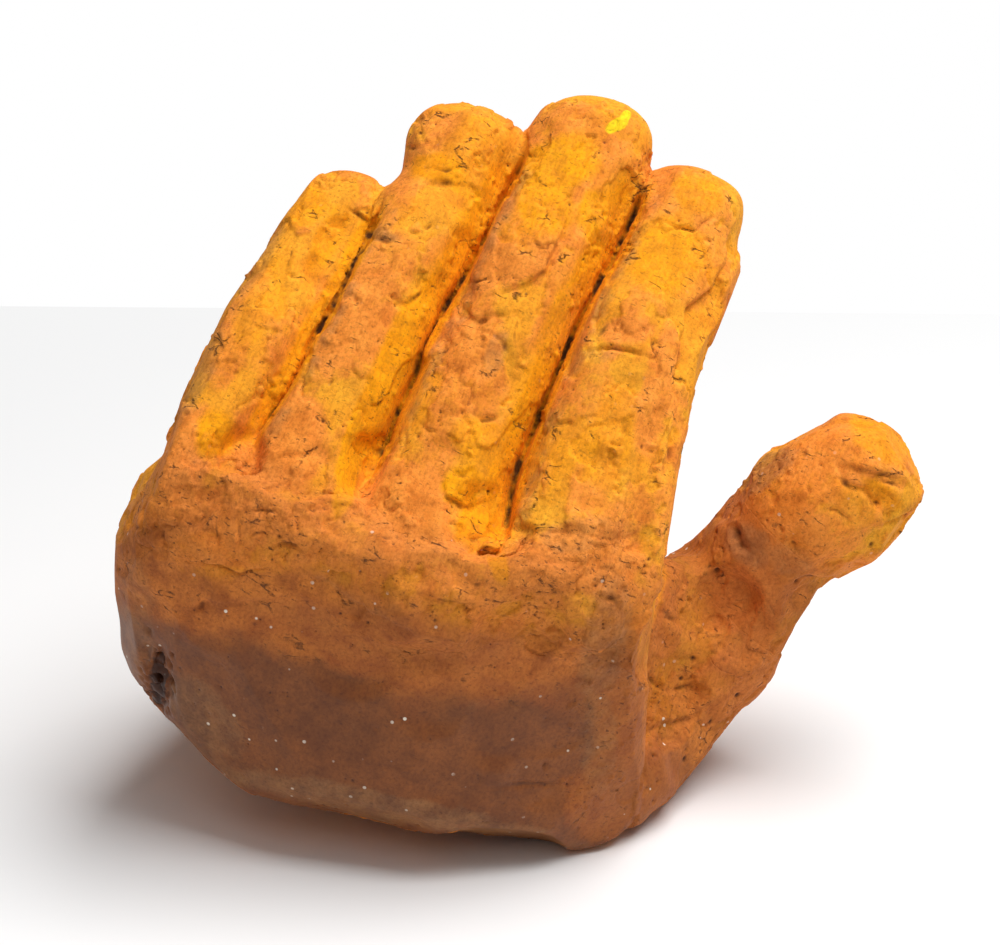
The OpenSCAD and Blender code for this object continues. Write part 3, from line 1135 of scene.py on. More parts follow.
@dataclass
class Fingers:
    """The four fingers, the band over their roots and the strip along the index finger."""

    swell: float = 3.5
    band_swell: float = 3.0
    far: float = 150.0
    strip_low: tuple[float, float, float] = (40.8, -20.0, -10.0)
    strip_high: tuple[float, float, float] = (64.0, 22.0, 94.0)
    partings: dict[str, tuple[float, float]] = field(
        default_factory=lambda: {
            "little_finger": (-150.0, -45.0),
            "index_finger": (14.5, 150.0),
            "middle_finger": (-17.5, 14.5),
        }
    )
    strokes: tuple[Stroke, ...] = (
        # Torn skins and steps down the middle finger
        Stroke(
            ((496, 293), (524, 284), (545, 270), (551, 252), (564, 228), (570, 206)),
            width=0.5,
            depth=0.5,
            lip=0.4,
            drop=1.3,
            reach=7.0,
        ),
        Stroke(((465, 283), (478, 281), (492, 279)), 0.4, 0.7),
        Stroke(((459, 303), (468, 312), (479, 320), (494, 315), (510, 311)), 0.6, 0.8, 0.3, 0.7, 5.0),
        Stroke(((520, 352), (515, 335), (517, 320), (510, 311)), 0.5, 0.5, 0.3, 0.7, 5.0),
        Stroke(((490, 332), (500, 341), (507, 352), (509, 366)), 0.9, 0.8),
        Stroke(((535, 201), (546, 205)), 0.4, 0.8),
        Stroke(((561, 191), (571, 198)), 0.3, 0.6),
        Stroke(((441, 474), (445, 494), (461, 508), (484, 504)), 0.5, 0.9, 0.4, 0.5, 4.0),
        Stroke(((453, 470), (462, 475), (474, 471)), 0.8, 1.0),
        Stroke(((470, 412), (482, 420), (500, 417)), 0.8, 1.0),
        Stroke(((468, 536), (474, 540), (480, 535)), 0.8, 1.2),
        # Ring finger: the torn neck under its tip, and cracks
        Stroke(((402, 144), (412, 148), (421, 147)), 0.5, 0.9),
        Stroke(((420, 180), (436, 183), (450, 182), (470, 186)), 0.4, 0.3, 0.2, 0.6, 5.0),
        Stroke(((423, 171), (434, 168), (446, 172), (462, 167)), 0.4, 0.6),
        Stroke(((372, 237), (386, 240), (399, 236)), 0.7, 0.9, 0.3, 0.4, 4.0),
        Stroke(((424, 231), (434, 223)), 0.5, 0.8),
        Stroke(((397, 302), (410, 302), (421, 292), (425, 278)), 0.6, 0.5, 0.2, 0.7, 5.0),
        Stroke(((303, 382), (300, 396), (295, 402)), 0.4, 0.8),
        Stroke(((335, 376), (328, 388)), 0.5, 0.9),
        # Little finger: the scar along it, and the ragged end
        Stroke(((297, 234), (292, 252), (287, 270), (293, 276)), 0.4, 0.5, 0.0, 0.3, 3.0),
        Stroke(((290, 274), (297, 275)), 0.7, 1.0),
        Stroke(((337, 178), (348, 180), (356, 177)), 0.5, 0.8),
        Stroke(((348, 208), (360, 214), (372, 222)), 0.5, 0.9, 0.3, 0.4, 4.0),
        # Index finger: the crack under its tip and the wedge-shaped cut
        Stroke(
            ((661, 219), (668, 224), (677, 228), (695, 230), (703, 223), (712, 218), (720, 220)),
            width=0.35,
            depth=1.0,
        ),
        Stroke(((720, 220), (732, 230)), 0.3, 0.6),
        Stroke(((594, 352), (604, 349), (615, 347), (628, 349), (642, 355)), 0.7, 1.8, 0.9, 0.0, 5.0),
        Stroke(((591, 344), (600, 331), (610, 321), (620, 320)), 0.4, 0.5, 0.0, 0.6, 5.0),
        Stroke(((655, 328), (652, 344), (656, 355), (650, 369)), 0.3, 0.7),
        Stroke(((663, 285), (668, 286)), 0.4, 0.7),
        # The ridge that parts the index finger's face from its side strip
        Stroke(
            ((672, 392), (678, 354), (684, 330), (689, 305), (713, 288), (726, 258), (734, 232)),
            width=0.6,
            depth=0.5,
            lip=0.6,
            drop=1.6,
            reach=7.0,
            mask=Mask.CREVICE_SHADE,
            shade=0.4,
        ),
        Stroke(
            ((660, 482), (667, 455), (671, 427), (679, 405), (672, 392)),
            width=0.6,
            depth=0.6,
            lip=0.5,
            drop=1.4,
            reach=6.0,
            mask=Mask.CREVICE_SHADE,
            shade=0.5,
        ),
        Stroke(((676, 436), (674, 450), (672, 472)), 1.0, 2.0),
        # Cracks over the knuckles
        Stroke(
            ((174, 558), (195, 562), (213, 566), (240, 572), (260, 569), (279, 564)),
            width=0.4,
            depth=1.0,
            lip=0.3,
            drop=0.2,
            reach=4.0,
        ),
        Stroke(((247, 537), (256, 533), (268, 535)), 0.5, 1.0),
        Stroke(((263, 549), (276, 546), (289, 543), (302, 550), (313, 556)), 0.6, 1.0, 0.5, 0.3, 4.0),
        Stroke(((246, 512), (262, 510), (275, 512)), 0.5, 0.9),
        Stroke(((217, 552), (216, 520), (219, 505)), 0.4, 0.4, 0.0, 0.4, 4.0),
        Stroke(((240, 552), (240, 530), (238, 510)), 0.4, 0.4, 0.3, 0.0, 4.0),
        Stroke(
            ((308, 571), (336, 587), (360, 606), (386, 618), (421, 638)),
            width=0.8,
            depth=0.4,
            lip=0.0,
            drop=0.6,
            reach=6.0,
            mask=Mask.GREY_RUB_AND_SHEEN,
            shade=0.6,
        ),
        Stroke(((355, 545), (372, 536), (395, 540), (420, 533)), 0.5, 0.6),
        Stroke(((430, 598), (440, 600), (452, 603), (473, 602)), 0.4, 0.7, 0.4, 0.3, 4.0),
        Stroke(((467, 582), (476, 585), (485, 583)), 0.8, 1.1),
        Stroke(((486, 617), (498, 616), (511, 617), (521, 625)), 0.4, 0.7, 0.3, 0.3, 4.0),
        Stroke(
            ((506, 524), (540, 530), (575, 528), (610, 538), (650, 532)),
            width=0.9,
            depth=0.5,
            lip=0.0,
            drop=0.5,
            reach=5.0,
            mask=Mask.GREY_RUB_AND_SHEEN,
            shade=0.5,
        ),
        Stroke(((590, 578), (598, 592), (612, 598), (624, 610)), 0.7, 0.8, 0.3, 0.5, 4.0),
        Stroke(((118, 566), (124, 573), (129, 565)), 1.0, 1.4),
        Stroke(((133, 523), (139, 531), (146, 528)), 0.8, 1.0),
        Stroke(((156, 508), (160, 540), (164, 552)), 0.5, 0.7),
    )
    blots: tuple[Patch, ...] = (
        # Bright raw clay
        Patch(Mask.RAW, (470, 150), (26, 44), 20, 0.55),
        Patch(Mask.RAW, (435, 168), (26, 14), 0, 0.8),
        Patch(Mask.RAW, (560, 165), (42, 30), -20, 0.75),
        Patch(Mask.RAW, (545, 205), (30, 34), -25, 0.7),
        Patch(Mask.RAW, (598, 215), (24, 30), -20, 0.7),
        # These three along the ring finger's right slope also paint the warm light that bounces onto it from
        # the groove
        Patch(Mask.RAW, (395, 350), (15, 60), 24, 0.9),
        Patch(Mask.RAW, (362, 430), (15, 60), 22, 1.0),
        Patch(Mask.RAW, (345, 488), (10, 32), 16, 1.0),
        Patch(Mask.RAW, (463, 485), (20, 22), 0, 0.9),
        Patch(Mask.RAW, (478, 528), (22, 26), -30, 1.0),
        Patch(Mask.RAW, (497, 560), (9, 24), -15, 1.0),
        Patch(Mask.RAW, (480, 440), (30, 24), 20, 0.6),
        Patch(Mask.RAW, (560, 320), (14, 50), 25, 0.65),
        Patch(Mask.RAW, (665, 255), (42, 40), 10, 0.65),
        Patch(Mask.RAW, (700, 195), (26, 20), 20, 0.6),
        Patch(Mask.RAW, (300, 205), (30, 22), -25, 0.7),
        Patch(Mask.RAW, (330, 235), (14, 40), 28, 0.6),
        Patch(Mask.RAW, (262, 300), (20, 60), 26, 0.45),
        Patch(Mask.RAW, (215, 435), (20, 26), 10, 0.8),
        Patch(Mask.RAW, (610, 440), (24, 60), 12, 0.5),
        Patch(Mask.RAW, (560, 470), (16, 40), 15, 0.4),
        # Skins of worn clay
        Patch(Mask.FILM, (455, 135), (40, 24), 0, 0.7),
        Patch(Mask.FILM, (520, 240), (42, 46), 20, 1.0, 0.0, 0.45),
        Patch(Mask.FILM, (470, 345), (34, 40), 20, 0.85),
        Patch(Mask.FILM, (445, 430), (26, 60), 20, 0.7),
        Patch(Mask.FILM, (385, 265), (34, 36), 25, 0.7),
        Patch(Mask.FILM, (345, 320), (38, 60), 28, 0.9),
        Patch(Mask.FILM, (285, 440), (44, 52), 20, 1.0),
        Patch(Mask.FILM, (185, 450), (26, 46), 20, 0.95),
        Patch(Mask.FILM, (232, 355), (14, 44), 26, 0.6),
        Patch(Mask.FILM, (588, 120), (40, 16), 10, 0.7),
        Patch(Mask.FILM, (628, 330), (26, 14), -10, 1.0),
        Patch(Mask.FILM, (655, 400), (18, 60), 12, 0.8),
        Patch(Mask.FILM, (600, 400), (20, 30), 10, 0.5),
        Patch(Mask.FILM, (700, 270), (22, 40), 20, 0.6),
        Patch(Mask.FILM, (410, 510), (44, 44), 0, 1.0),
        Patch(Mask.FILM, (575, 560), (70, 34), 0, 1.0),
        Patch(Mask.FILM, (230, 520), (90, 36), 0, 0.8),
        # Grey places: rubbed clay, and painted shade on the fingers' left flanks
        Patch(Mask.GREY_RUB_AND_SHEEN, (262, 250), (12, 60), 26, 0.6),
        Patch(Mask.GREY_RUB_AND_SHEEN, (200, 370), (12, 60), 24, 0.7),
        Patch(Mask.GREY_RUB_AND_SHEEN, (497, 352), (12, 20), 20, 0.6),
        Patch(Mask.GREY_RUB_AND_SHEEN, (384, 236), (14, 6), 10, 0.8),
        Patch(Mask.GREY_RUB_AND_SHEEN, (585, 535), (60, 18), 0, 0.45),
        Patch(Mask.GREY_RUB_AND_SHEEN, (600, 356), (14, 8), 0, 0.5),
        Patch(Mask.ROUGH, (575, 570), (75, 45), 0, 1.0),
        Patch(Mask.ROUGH, (230, 520), (95, 45), 0, 0.8),
        Patch(Mask.ROUGH, (636, 205), (16, 60), 18, 1.0),
        # The dab of yellow paint on the middle fingertip
        Patch(Mask.PAINT, (617, 124), (12, 7), -25, 1.0, 0.15, 0.3),
        Patch(Mask.PAINT, (626, 115), (5, 6), 40, 0.9, 0.1, 0.3),
    )

    def work(self, bench: Workbench) -> None:
        """Model the fingers' backs and pads, and the knuckles.

        Args:
            bench: The clay.
        """
        region = bench.region
        for groove in GROOVES:
            bench.carve_groove(groove)
        bench.skin.settle()
        bench.press_flats(
            region.fingers + 0.6 * region.knuckles,
            count=150,
            radii=(6.0, 12.0),
            depths=(0.3, 0.9),
        )
        bench.refresh()
        region = bench.region
        bench.flakes(region.fingers, seed=21, size=13.0, height=0.5, share=0.06)
        bench.flakes(region.knuckles, seed=22, size=10.0, height=0.6, share=-0.1)
        bench.scars(region.fingers, count=60, radii=(3.5, 9.0), depth=0.8, raw=0.6)
        bench.scars(region.knuckles, count=36, radii=(2.5, 6.0), depth=0.8, raw=0.2)
        bench.cracks(region.fingers, count=22, steps=(3, 8), depth=0.6)
        bench.cracks(region.knuckles, count=16, steps=(3, 7), depth=0.7)
        bench.pits(region.fingers + region.knuckles, count=360, radii=(0.35, 0.7), depth=0.6)
        limb = (1.0 - region.thumb) * ease(14.0, 4.0, bench.hand[:, 1])
        bench.draw_marks(self.strokes, self.blots, limb)

    def cut(self, clay: Clay) -> list[Piece]:
        """Cut the strip, the band and then all the fingers off the clay, and part the fingers.

        Args:
            clay: The clay, which is left without them.

        Returns:
            The six pieces.
        """
        strip = box_cutter(HAND, self.strip_low, self.strip_high)
        made = [Piece("index_strip", clay.take("index_strip", strip))]
        band = node_cutter("knuckle_band", self.band_swell)
        made.append(Piece("knuckle_band", clay.take("knuckle_band", band)))
        roots = node_cutter("middle_finger", self.swell)
        for node in ("ring_finger", "index_finger", "little_finger"):
            roots = boolean(roots, node_cutter(node, self.swell), Cut.BOTH, "roots")
        row = Clay(clay.take("finger_row", roots))
        for node, (left, right) in self.partings.items():
            low, high = (left, -self.far, -self.far), (right, self.far, self.far)
            made.append(Piece(node, row.take(node, box_cutter(HAND, low, high))))
        made.append(Piece("ring_finger", row.rest))
        return made


@dataclass
class Thumb:
    """The thumb: its muscle, its shaft, its tip and the wad in its web."""

    half_width: float = 32.0
    shaft_from: float = 9.0
    shaft_to: float = 33.0
    limb_to: float = 90.0
    tip_to: float = 95.0
    swell: float = 3.0
    strokes: tuple[Stroke, ...] = (
        # The cut that sets off the nail
        Stroke(((839, 464), (842, 476), (849, 487), (858, 488)), 1.0, 1.2),
        Stroke(((882, 513), (872, 503), (864, 494), (856, 487)), 0.7, 0.9, 0.5, 1.5, 7.0),
        Stroke(
            ((839, 464), (856, 467), (872, 472), (888, 474), (903, 480), (913, 487)),
            width=0.6,
            depth=0.8,
            lip=0.5,
            drop=0.8,
            reach=5.0,
        ),
        Stroke(((880, 480), (893, 484), (904, 488)), 0.7, 1.0),
        # Cracks and folds round the thumb
        Stroke(((821, 518), (826, 511), (838, 510), (847, 517), (849, 528)), 0.5, 0.9),
        Stroke(
            ((856, 531), (878, 526), (901, 518), (923, 500)),
            width=0.6,
            depth=0.3,
            lip=0.0,
            drop=1.2,
            reach=6.0,
            mask=Mask.GREY_RUB_AND_SHEEN,
            shade=0.4,
        ),
        Stroke(((793, 581), (806, 577), (820, 577), (836, 578)), 0.7, 1.2, 0.4, 0.4, 5.0),
        Stroke(((727, 520), (734, 530), (740, 545), (752, 550)), 1.4, 2.2, 0.5, 0.3, 5.0),
        Stroke(((806, 488), (810, 496)), 0.5, 0.8),
        Stroke(((758, 602), (762, 610), (766, 620)), 0.4, 0.6),
        Stroke(((766, 600), (771, 608), (776, 618)), 0.4, 0.6),
        Stroke(((774, 598), (778, 606)), 0.4, 0.5),
        Stroke(((700, 588), (708, 593), (716, 600)), 0.4, 0.5),
        Stroke(((643, 674), (652, 678), (658, 686), (667, 692)), 0.8, 1.5),
        Stroke(((672, 690), (682, 689), (690, 684), (699, 694)), 0.8, 1.5),
        Stroke(((645, 660), (652, 668)), 0.6, 1.0),
        Stroke(((654, 604), (662, 612), (680, 622)), 0.7, 0.9, 0.4, 0.4, 5.0),
        Stroke(
            ((640, 735), (664, 722), (690, 716), (712, 700)),
            width=0.6,
            depth=0.4,
            lip=0.3,
            drop=0.6,
            reach=6.0,
            mask=Mask.GREY_RUB_AND_SHEEN,
            shade=0.4,
        ),
    )
    blots: tuple[Patch, ...] = (
        Patch(Mask.RAW, (882, 440), (34, 22), 35, 0.55),
        Patch(Mask.RAW, (885, 495), (26, 10), 35, 0.6),
        Patch(Mask.RAW, (712, 555), (28, 14), 30, 0.6),
        Patch(Mask.RAW, (690, 625), (26, 34), 30, 0.35),
        Patch(Mask.RAW, (655, 700), (32, 30), 0, 0.85),
        Patch(Mask.RAW, (700, 690), (34, 16), -20, 0.5),
        Patch(Mask.BROWN, (665, 790), (60, 50), -30, 1.0),
        Patch(Mask.BURNISH_AND_SHADE, (650, 800), (60, 50), -30, 0.5),
        Patch(Mask.FILM, (790, 530), (44, 34), 40, 1.0),
        Patch(Mask.FILM, (820, 480), (26, 26), 0, 0.8),
        Patch(Mask.FILM, (740, 600), (40, 36), 40, 0.8),
        Patch(Mask.FILM, (740, 680), (44, 34), -30, 0.9),
        # Grey-brown painted shade on the thumb's left side, which faces away from the lamps
        Patch(Mask.GREY_RUB_AND_SHEEN, (765, 470), (34, 16), -40, 0.9),
        Patch(Mask.GREY_RUB_AND_SHEEN, (748, 545), (24, 18), 30, 0.8),
        Patch(Mask.GREY_RUB_AND_SHEEN, (790, 560), (24, 16), 20, 0.5),
        Patch(Mask.ROUGH, (770, 470), (40, 24), -40, 1.0),
        Patch(Mask.ROUGH, (670, 600), (30, 40), 20, 1.0),
        Patch(Mask.ROUGH, (665, 700), (40, 36), 0, 1.0),
    )

    def work(self, bench: Workbench) -> None:
        """Model the thumb and the web.

        Args:
            bench: The clay.
        """
        bench.press_flats(bench.region.thumb, count=60, radii=(8.0, 15.0), depths=(0.5, 1.4))
        bench.refresh()
        thumb = bench.region.thumb
        bench.flakes(thumb, seed=31, size=12.0, height=0.5, share=-0.12)
        bench.scars(thumb, count=36, radii=(3.5, 8.0), depth=0.9, raw=0.4)
        bench.cracks(thumb, count=12, steps=(3, 8), depth=0.7)
        bench.pits(thumb, count=130, radii=(0.4, 1.0), depth=0.8)
        across, deep, _ = bench.skin.points.T
        limb = np.maximum(thumb, ease(30.0, 44.0, across) * ease(-34.0, -28.0, deep))
        bench.draw_marks(self.strokes, self.blots, limb)

    def cut_limb(self, clay: Clay) -> list[Piece]:
        """Cut the thumb off its muscle, and its tip off its shaft.

        Args:
            clay: The clay, which is left without them.

        Returns:
            The tip and the shaft.
        """
        far = self.half_width
        limb_box = box_cutter(THUMB, (-far, -far, self.shaft_from), (far, far, self.limb_to))
        tip_box = box_cutter(THUMB, (-far, -far, self.shaft_to), (far, far, self.tip_to))
        limb = Clay(clay.take("limb", limb_box))
        tip = limb.take("thumb_tip", tip_box)
        return [Piece("thumb_tip", tip), Piece("thumb_shaft", limb.rest)]

    def cut_root(self, clay: Clay) -> list[Piece]:
        """Cut the wad in the web and the thumb's muscle off the clay."""
        names = ("web_wad", "thumb_mound")
        return [Piece(name, clay.take(name, node_cutter(name, self.swell))) for name in names]


@dataclass
class Palm:
    """The palm's bowl, the heel of the hand, the wrist's plug and the shell of the back."""

    bowl_centre: tuple[float, float, float] = (-21.3, 11.6, 86.0)
    bowl_radii: tuple[float, float, float] = (58.0, 52.0, 66.0)
    wrist_low: tuple[float, float, float] = (-99.0, 53.6, -10.0)
    wrist_high: tuple[float, float, float] = (99.0, 90.0, 120.0)
    vent_to: float = -2.0
    swell: float = 3.0
    hollow_at: tuple[float, float] = (156.0, 684.0)
    hollow_reach: tuple[float, float] = (13.0, 38.0)
    strokes: tuple[Stroke, ...] = (
        # The torn hollow at the little finger's side
        Stroke(((152, 644), (146, 652), (143, 662), (150, 668)), 1.4, 2.0),
        Stroke(((160, 648), (158, 660), (152, 670)), 1.2, 1.8),
        Stroke(((150, 668), (162, 672), (168, 682), (167, 694)), 0.9, 1.8),
        Stroke(((167, 690), (163, 702), (159, 712), (158, 724)), 1.1, 1.8),
        # The nick under the little finger's knuckle, a hole and the long scratch
        Stroke(((195, 610), (202, 605), (211, 604)), 1.0, 1.6),
        Stroke(((486, 787), (500, 786), (518, 785), (545, 784), (570, 785)), 0.6, 0.9, 0.0, 0.2, 3.0),
        Stroke(((544, 766), (549, 768)), 1.0, 1.5),
        Stroke(((178, 640), (182, 622), (186, 610)), 0.4, 0.4, 0.0, 0.3, 3.0, None),
        Stroke(((196, 608), (234, 602), (289, 596)), 0.5, 0.1, 0.3, 0.3, 6.0, None),
        Stroke(((510, 640), (540, 655), (570, 662), (597, 652)), 0.6, 0.1, 0.4, 0.2, 6.0, None),
        # A painted highlight along the sharp edge that parts the back of the hand from the thumb's side
        Stroke(
            ((662, 556), (655, 612), (650, 665), (645, 726), (641, 790)),
            width=0.6,
            depth=-0.1,
            mask=Mask.EDGE,
            shade=0.8,
        ),
    )
    blots: tuple[Patch, ...] = (
        # Burnished brown with its painted shade: none under the knuckles, more towards the bottom right
        Patch(Mask.BURNISH_AND_SHADE, (220, 590), (100, 44), 4, 0.0),
        Patch(Mask.BURNISH_AND_SHADE, (380, 640), (150, 34), 8, 0.3),
        Patch(Mask.BURNISH_AND_SHADE, (620, 720), (26, 110), 6, 0.4),
        Patch(Mask.BURNISH_AND_SHADE, (600, 800), (40, 40), 0, 0.5),
        Patch(Mask.BROWN, (238, 550), (72, 28), 0, 0.45),
        Patch(Mask.RAW, (236, 580), (60, 15), 4, 0.45),
        Patch(Mask.RAW, (555, 645), (44, 13), 6, 0.4),
        # Grey: rubbed clay beside the thumb's edge, and painted sheen along the bottom edge and low on the
        # left, where the underside takes the table's light
        Patch(Mask.GREY_RUB_AND_SHEEN, (604, 640), (22, 70), 12, 0.7),
        Patch(Mask.GREY_RUB_AND_SHEEN, (598, 740), (18, 50), 4, 0.5),
        Patch(Mask.GREY_RUB_AND_SHEEN, (390, 808), (190, 14), 12, 0.8),
        Patch(Mask.GREY_RUB_AND_SHEEN, (205, 720), (24, 50), -35, 0.7),
        Patch(Mask.GREY_RUB_AND_SHEEN, (135, 620), (20, 60), 0, 0.5),
        Patch(Mask.ROUGH, (600, 720), (36, 90), 10, 0.8),
    )

    def colour_back(self, bench: Workbench) -> None:
        """Lay the burnished brown over the back of the hand, with an uneven upper edge; lower down it is
        darker, as painted shade.

        Args:
            bench: The clay.
        """
        region, points = bench.region, bench.skin.points
        below = ridge_height(bench.hand[:, 0]) - bench.hand[:, 2]
        uneven = bench.noise.layers(points, 26.0, 4, gain=0.6)
        depth = below + 12.0 * uneven
        masks = bench.skin.masks
        # The brown deepens below the knuckle ridge: partly burnished clay, partly painted shade on the lower
        # back, which faces down away from the lamps
        masks[Mask.BURNISH_AND_SHADE] = region.back * ease(12.0, 34.0, depth)
        along = THUMB.local(points)[:, 2]
        thumb = region.thumb * (0.8 - 0.65 * ease(22.0, 46.0, along)) + 0.3 * uneven * region.thumb
        palm = (1.0 - region.fingers) * (1.0 - region.back)
        palm = palm * (1.0 - region.thumb) * (1.0 - region.knuckles)
        handled = 0.5 * region.knuckles + region.back + thumb + palm * (0.5 + 0.5 * uneven)
        masks[Mask.BROWN] = np.clip(handled, 0.0, 1.0)
        bench.skin.spread(Mask.FILM, region.back)

    def tear_hollow(self, bench: Workbench) -> None:
        """Leave the hollow at the little finger's side torn and fibrous.

        Args:
            bench: The clay.
        """
        away = (bench.place - np.array(self.hollow_at)) / np.array(self.hollow_reach)
        torn = np.exp(-np.sum(away**2, axis=1)) * bench.seen
        bench.pits(torn, count=60, radii=(0.5, 1.2), depth=1.2)
        ragged = ease(0.5, 0.75, torn + 0.35 * bench.noise.layers(bench.skin.points, 3.0, 3, gain=0.7))
        bench.height -= 0.8 * ragged
        # Painted shade in the torn hollow
        bench.skin.spread(Mask.CREVICE_SHADE, 0.9 * ragged)

    def work(self, bench: Workbench) -> None:
        """Model the back of the hand, the palm, the heel and the wrist.

        Args:
            bench: The clay.
        """
        whole = 1.0 - bench.region.fingers - bench.region.thumb
        bench.press_flats(np.clip(whole, 0.0, 1.0), count=90, radii=(12.0, 22.0), depths=(0.3, 1.0))
        bench.refresh()
        region = bench.region
        palm = np.clip(1.0 - region.fingers - region.thumb - region.back - region.knuckles, 0.0, 1.0)
        self.colour_back(bench)
        bench.flakes(palm, seed=41, size=15.0, height=0.6, share=0.0)
        bench.scars(palm, count=60, radii=(4.0, 11.0), depth=0.9, raw=0.6)
        bench.scars(region.back, count=12, radii=(5.0, 9.0), depth=0.25, raw=0.0)
        bench.cracks(palm, count=24, steps=(3, 9), depth=0.7)
        bench.cracks(region.back, count=5, steps=(3, 7), depth=0.35)
        bench.pits(palm, count=160, radii=(0.5, 1.1), depth=0.8)
        bench.pits(region.back, count=110, radii=(0.3, 0.6), depth=0.4)
        limb = (1.0 - region.thumb) * ease(10.0, -10.0, bench.skin.points[:, 1])
        bench.draw_marks(self.strokes, self.blots, limb)
        self.tear_hollow(bench)

    def cut(self, clay: Clay, body: ClayBody) -> list[Piece]:
        """Cut the palm's pieces off, and take the shell of the back as what is left.

        Args:
            clay: The clay, which is used up.
            body: The body of clay, which knows the air pocket.

        Returns:
            The four pieces.
        """
        world = LimbFrame((0.0, 0.0, 0.0), Matrix.Identity(3))
        knives = {
            "heel_mound": node_cutter("heel_mound", self.swell),
            "wrist_plug": box_cutter(world, self.wrist_low, self.wrist_high),
            "palm_bowl": ball_cutter(self.bowl_centre, self.bowl_radii),
        }
        made = [Piece(node, clay.take(node, knife)) for node, knife in knives.items()]
        shell = boolean(clay.rest, body.pocket(self.vent_to), Cut.OUTSIDE, "back_shell")
        return [*made, Piece("back_shell", shell)]


@dataclass(frozen=True)
class Grain:
    """The clay's grain and the crumbs that stick to it, in millimetres."""

    swell: float = 0.5
    swell_size: float = 32.0
    wave: float = 0.25
    wave_size: float = 13.0
    depth: float = 0.3
    size: float = 2.4
    crumbs: int = 600

    def model(self, bench: Workbench, fingers: Fingers, thumb: Thumb, palm: Palm) -> None:
        """Work the whole body of clay over, from its large forms to its grain.

        Args:
            bench: The clay.
            fingers: The fingers, with their marks.
            thumb: The thumb, with its marks.
            palm: The palm and back, with their marks.
        """
        points, noise = bench.skin.points, bench.noise
        bench.height += self.swell * noise.at(points, self.swell_size)
        bench.height += self.wave * noise.at(points, self.wave_size)
        bench.height *= 1.0 - bench.region.under
        bench.settle()
        palm.work(bench)
        thumb.work(bench)
        fingers.work(bench)
        region, masks = bench.region, bench.skin.masks
        rough = 0.3 + 0.7 * masks[Mask.ROUGH] + 0.3 * region.knuckles - 0.27 * region.back
        grain = noise.layers(bench.skin.points, self.size, 3, gain=0.7)
        bench.height += self.depth * np.clip(rough, 0.03, 1.0) * grain
        bench.crumbs(
            masks[Mask.ROUGH] + 0.3 * masks[Mask.CREVICE_SHADE],
            count=self.crumbs,
            radii=(0.4, 0.9),
            height=0.5,
        )
        bench.height *= 1.0 - region.under
        bench.settle()
        log.info("the clay is modelled")


def add_node(
    tree: bpy.types.NodeTree, kind: str, inputs: dict | None = None, **settings: object
) -> bpy.types.Node:
    """Add a node with its settings, and fill or link its inputs.

    Args:
        tree: The material's node tree.
        kind: Type of the node.
        inputs: A value or another node's output for each input, by name or number.
        **settings: The node's own settings.

    Returns:
        The new node.
    """
    node = tree.nodes.new(kind)
    for key, value in settings.items():
        setattr(node, key, value)
    for key, value in (inputs or {}).items():
        if isinstance(value, bpy.types.NodeSocket):
            tree.links.new(value, node.inputs[key])
        else:
            node.inputs[key].default_value = value
    return node


def where_all(tree: bpy.types.NodeTree, limits: tuple[dict, ...]) -> bpy.types.NodeSocket:
    """Find where several things hold at once.

    Args:
        tree: The material's node tree.
        limits: For each thing, the value that tells it and the range in which it comes to hold.

    Returns:
        Output that is 1 where all of them hold and 0 where one does not.
    """
    whole: object = 1.0
    for limit in limits:
        share = add_node(tree, "ShaderNodeMapRange", limit).outputs[0]
        whole = add_node(tree, "ShaderNodeMath", {0: share, 1: whole}, operation="MULTIPLY").outputs[0]
    return whole


class Pattern(Enum):
    """Sizes of the shader's noise, in millimetres."""

    BROAD = 22.0
    PATCHY = 6.0
    TORN = 2.4
    FINE = 0.8


@dataclass(frozen=True)
class Coat:
    """One coat of colour over the clay: where a mask lays it, and how its two colours mix."""

    mask: Mask
    first: str
    second: str
    strength: float = 1.0
    mixed_by: Pattern = Pattern.PATCHY
    torn_by: Pattern = Pattern.TORN
    tear: float = 1.2
    soft: float = 0.2

    def lay(
        self, tree: bpy.types.NodeTree, masks: dict, patterns: dict, under: object
    ) -> bpy.types.NodeSocket:
        """Lay the coat over what is under it.

        Args:
            tree: The material's node tree.
            masks: Output of each mask.
            patterns: Output of each pattern of noise.
            under: Output of the colour underneath.

        Returns:
            Output of the new colour.
        """
        middle = 0.5 * self.tear + 0.5
        ends = (middle - self.soft, middle + self.soft)
        torn = add_node(
            tree,
            "ShaderNodeMath",
            {0: patterns[self.torn_by], 1: self.tear, 2: masks[self.mask]},
            operation="MULTIPLY_ADD",
        )
        share = add_node(
            tree,
            "ShaderNodeMapRange",
            {"Value": torn.outputs[0], "From Min": ends[0], "From Max": ends[1], "To Max": self.strength},
        )
        even = add_node(
            tree,
            "ShaderNodeMapRange",
            {"Value": patterns[self.mixed_by], "From Min": 0.35, "From Max": 0.65},
        )
        colours = {6: linear_colour(self.first), 7: linear_colour(self.second)}
        tint = add_node(tree, "ShaderNodeMix", {0: even.outputs[0], **colours}, data_type="RGBA")
        values = {0: share.outputs[0], 6: under, 7: tint.outputs[2]}
        return add_node(tree, "ShaderNodeMix", values, data_type="RGBA").outputs[2]


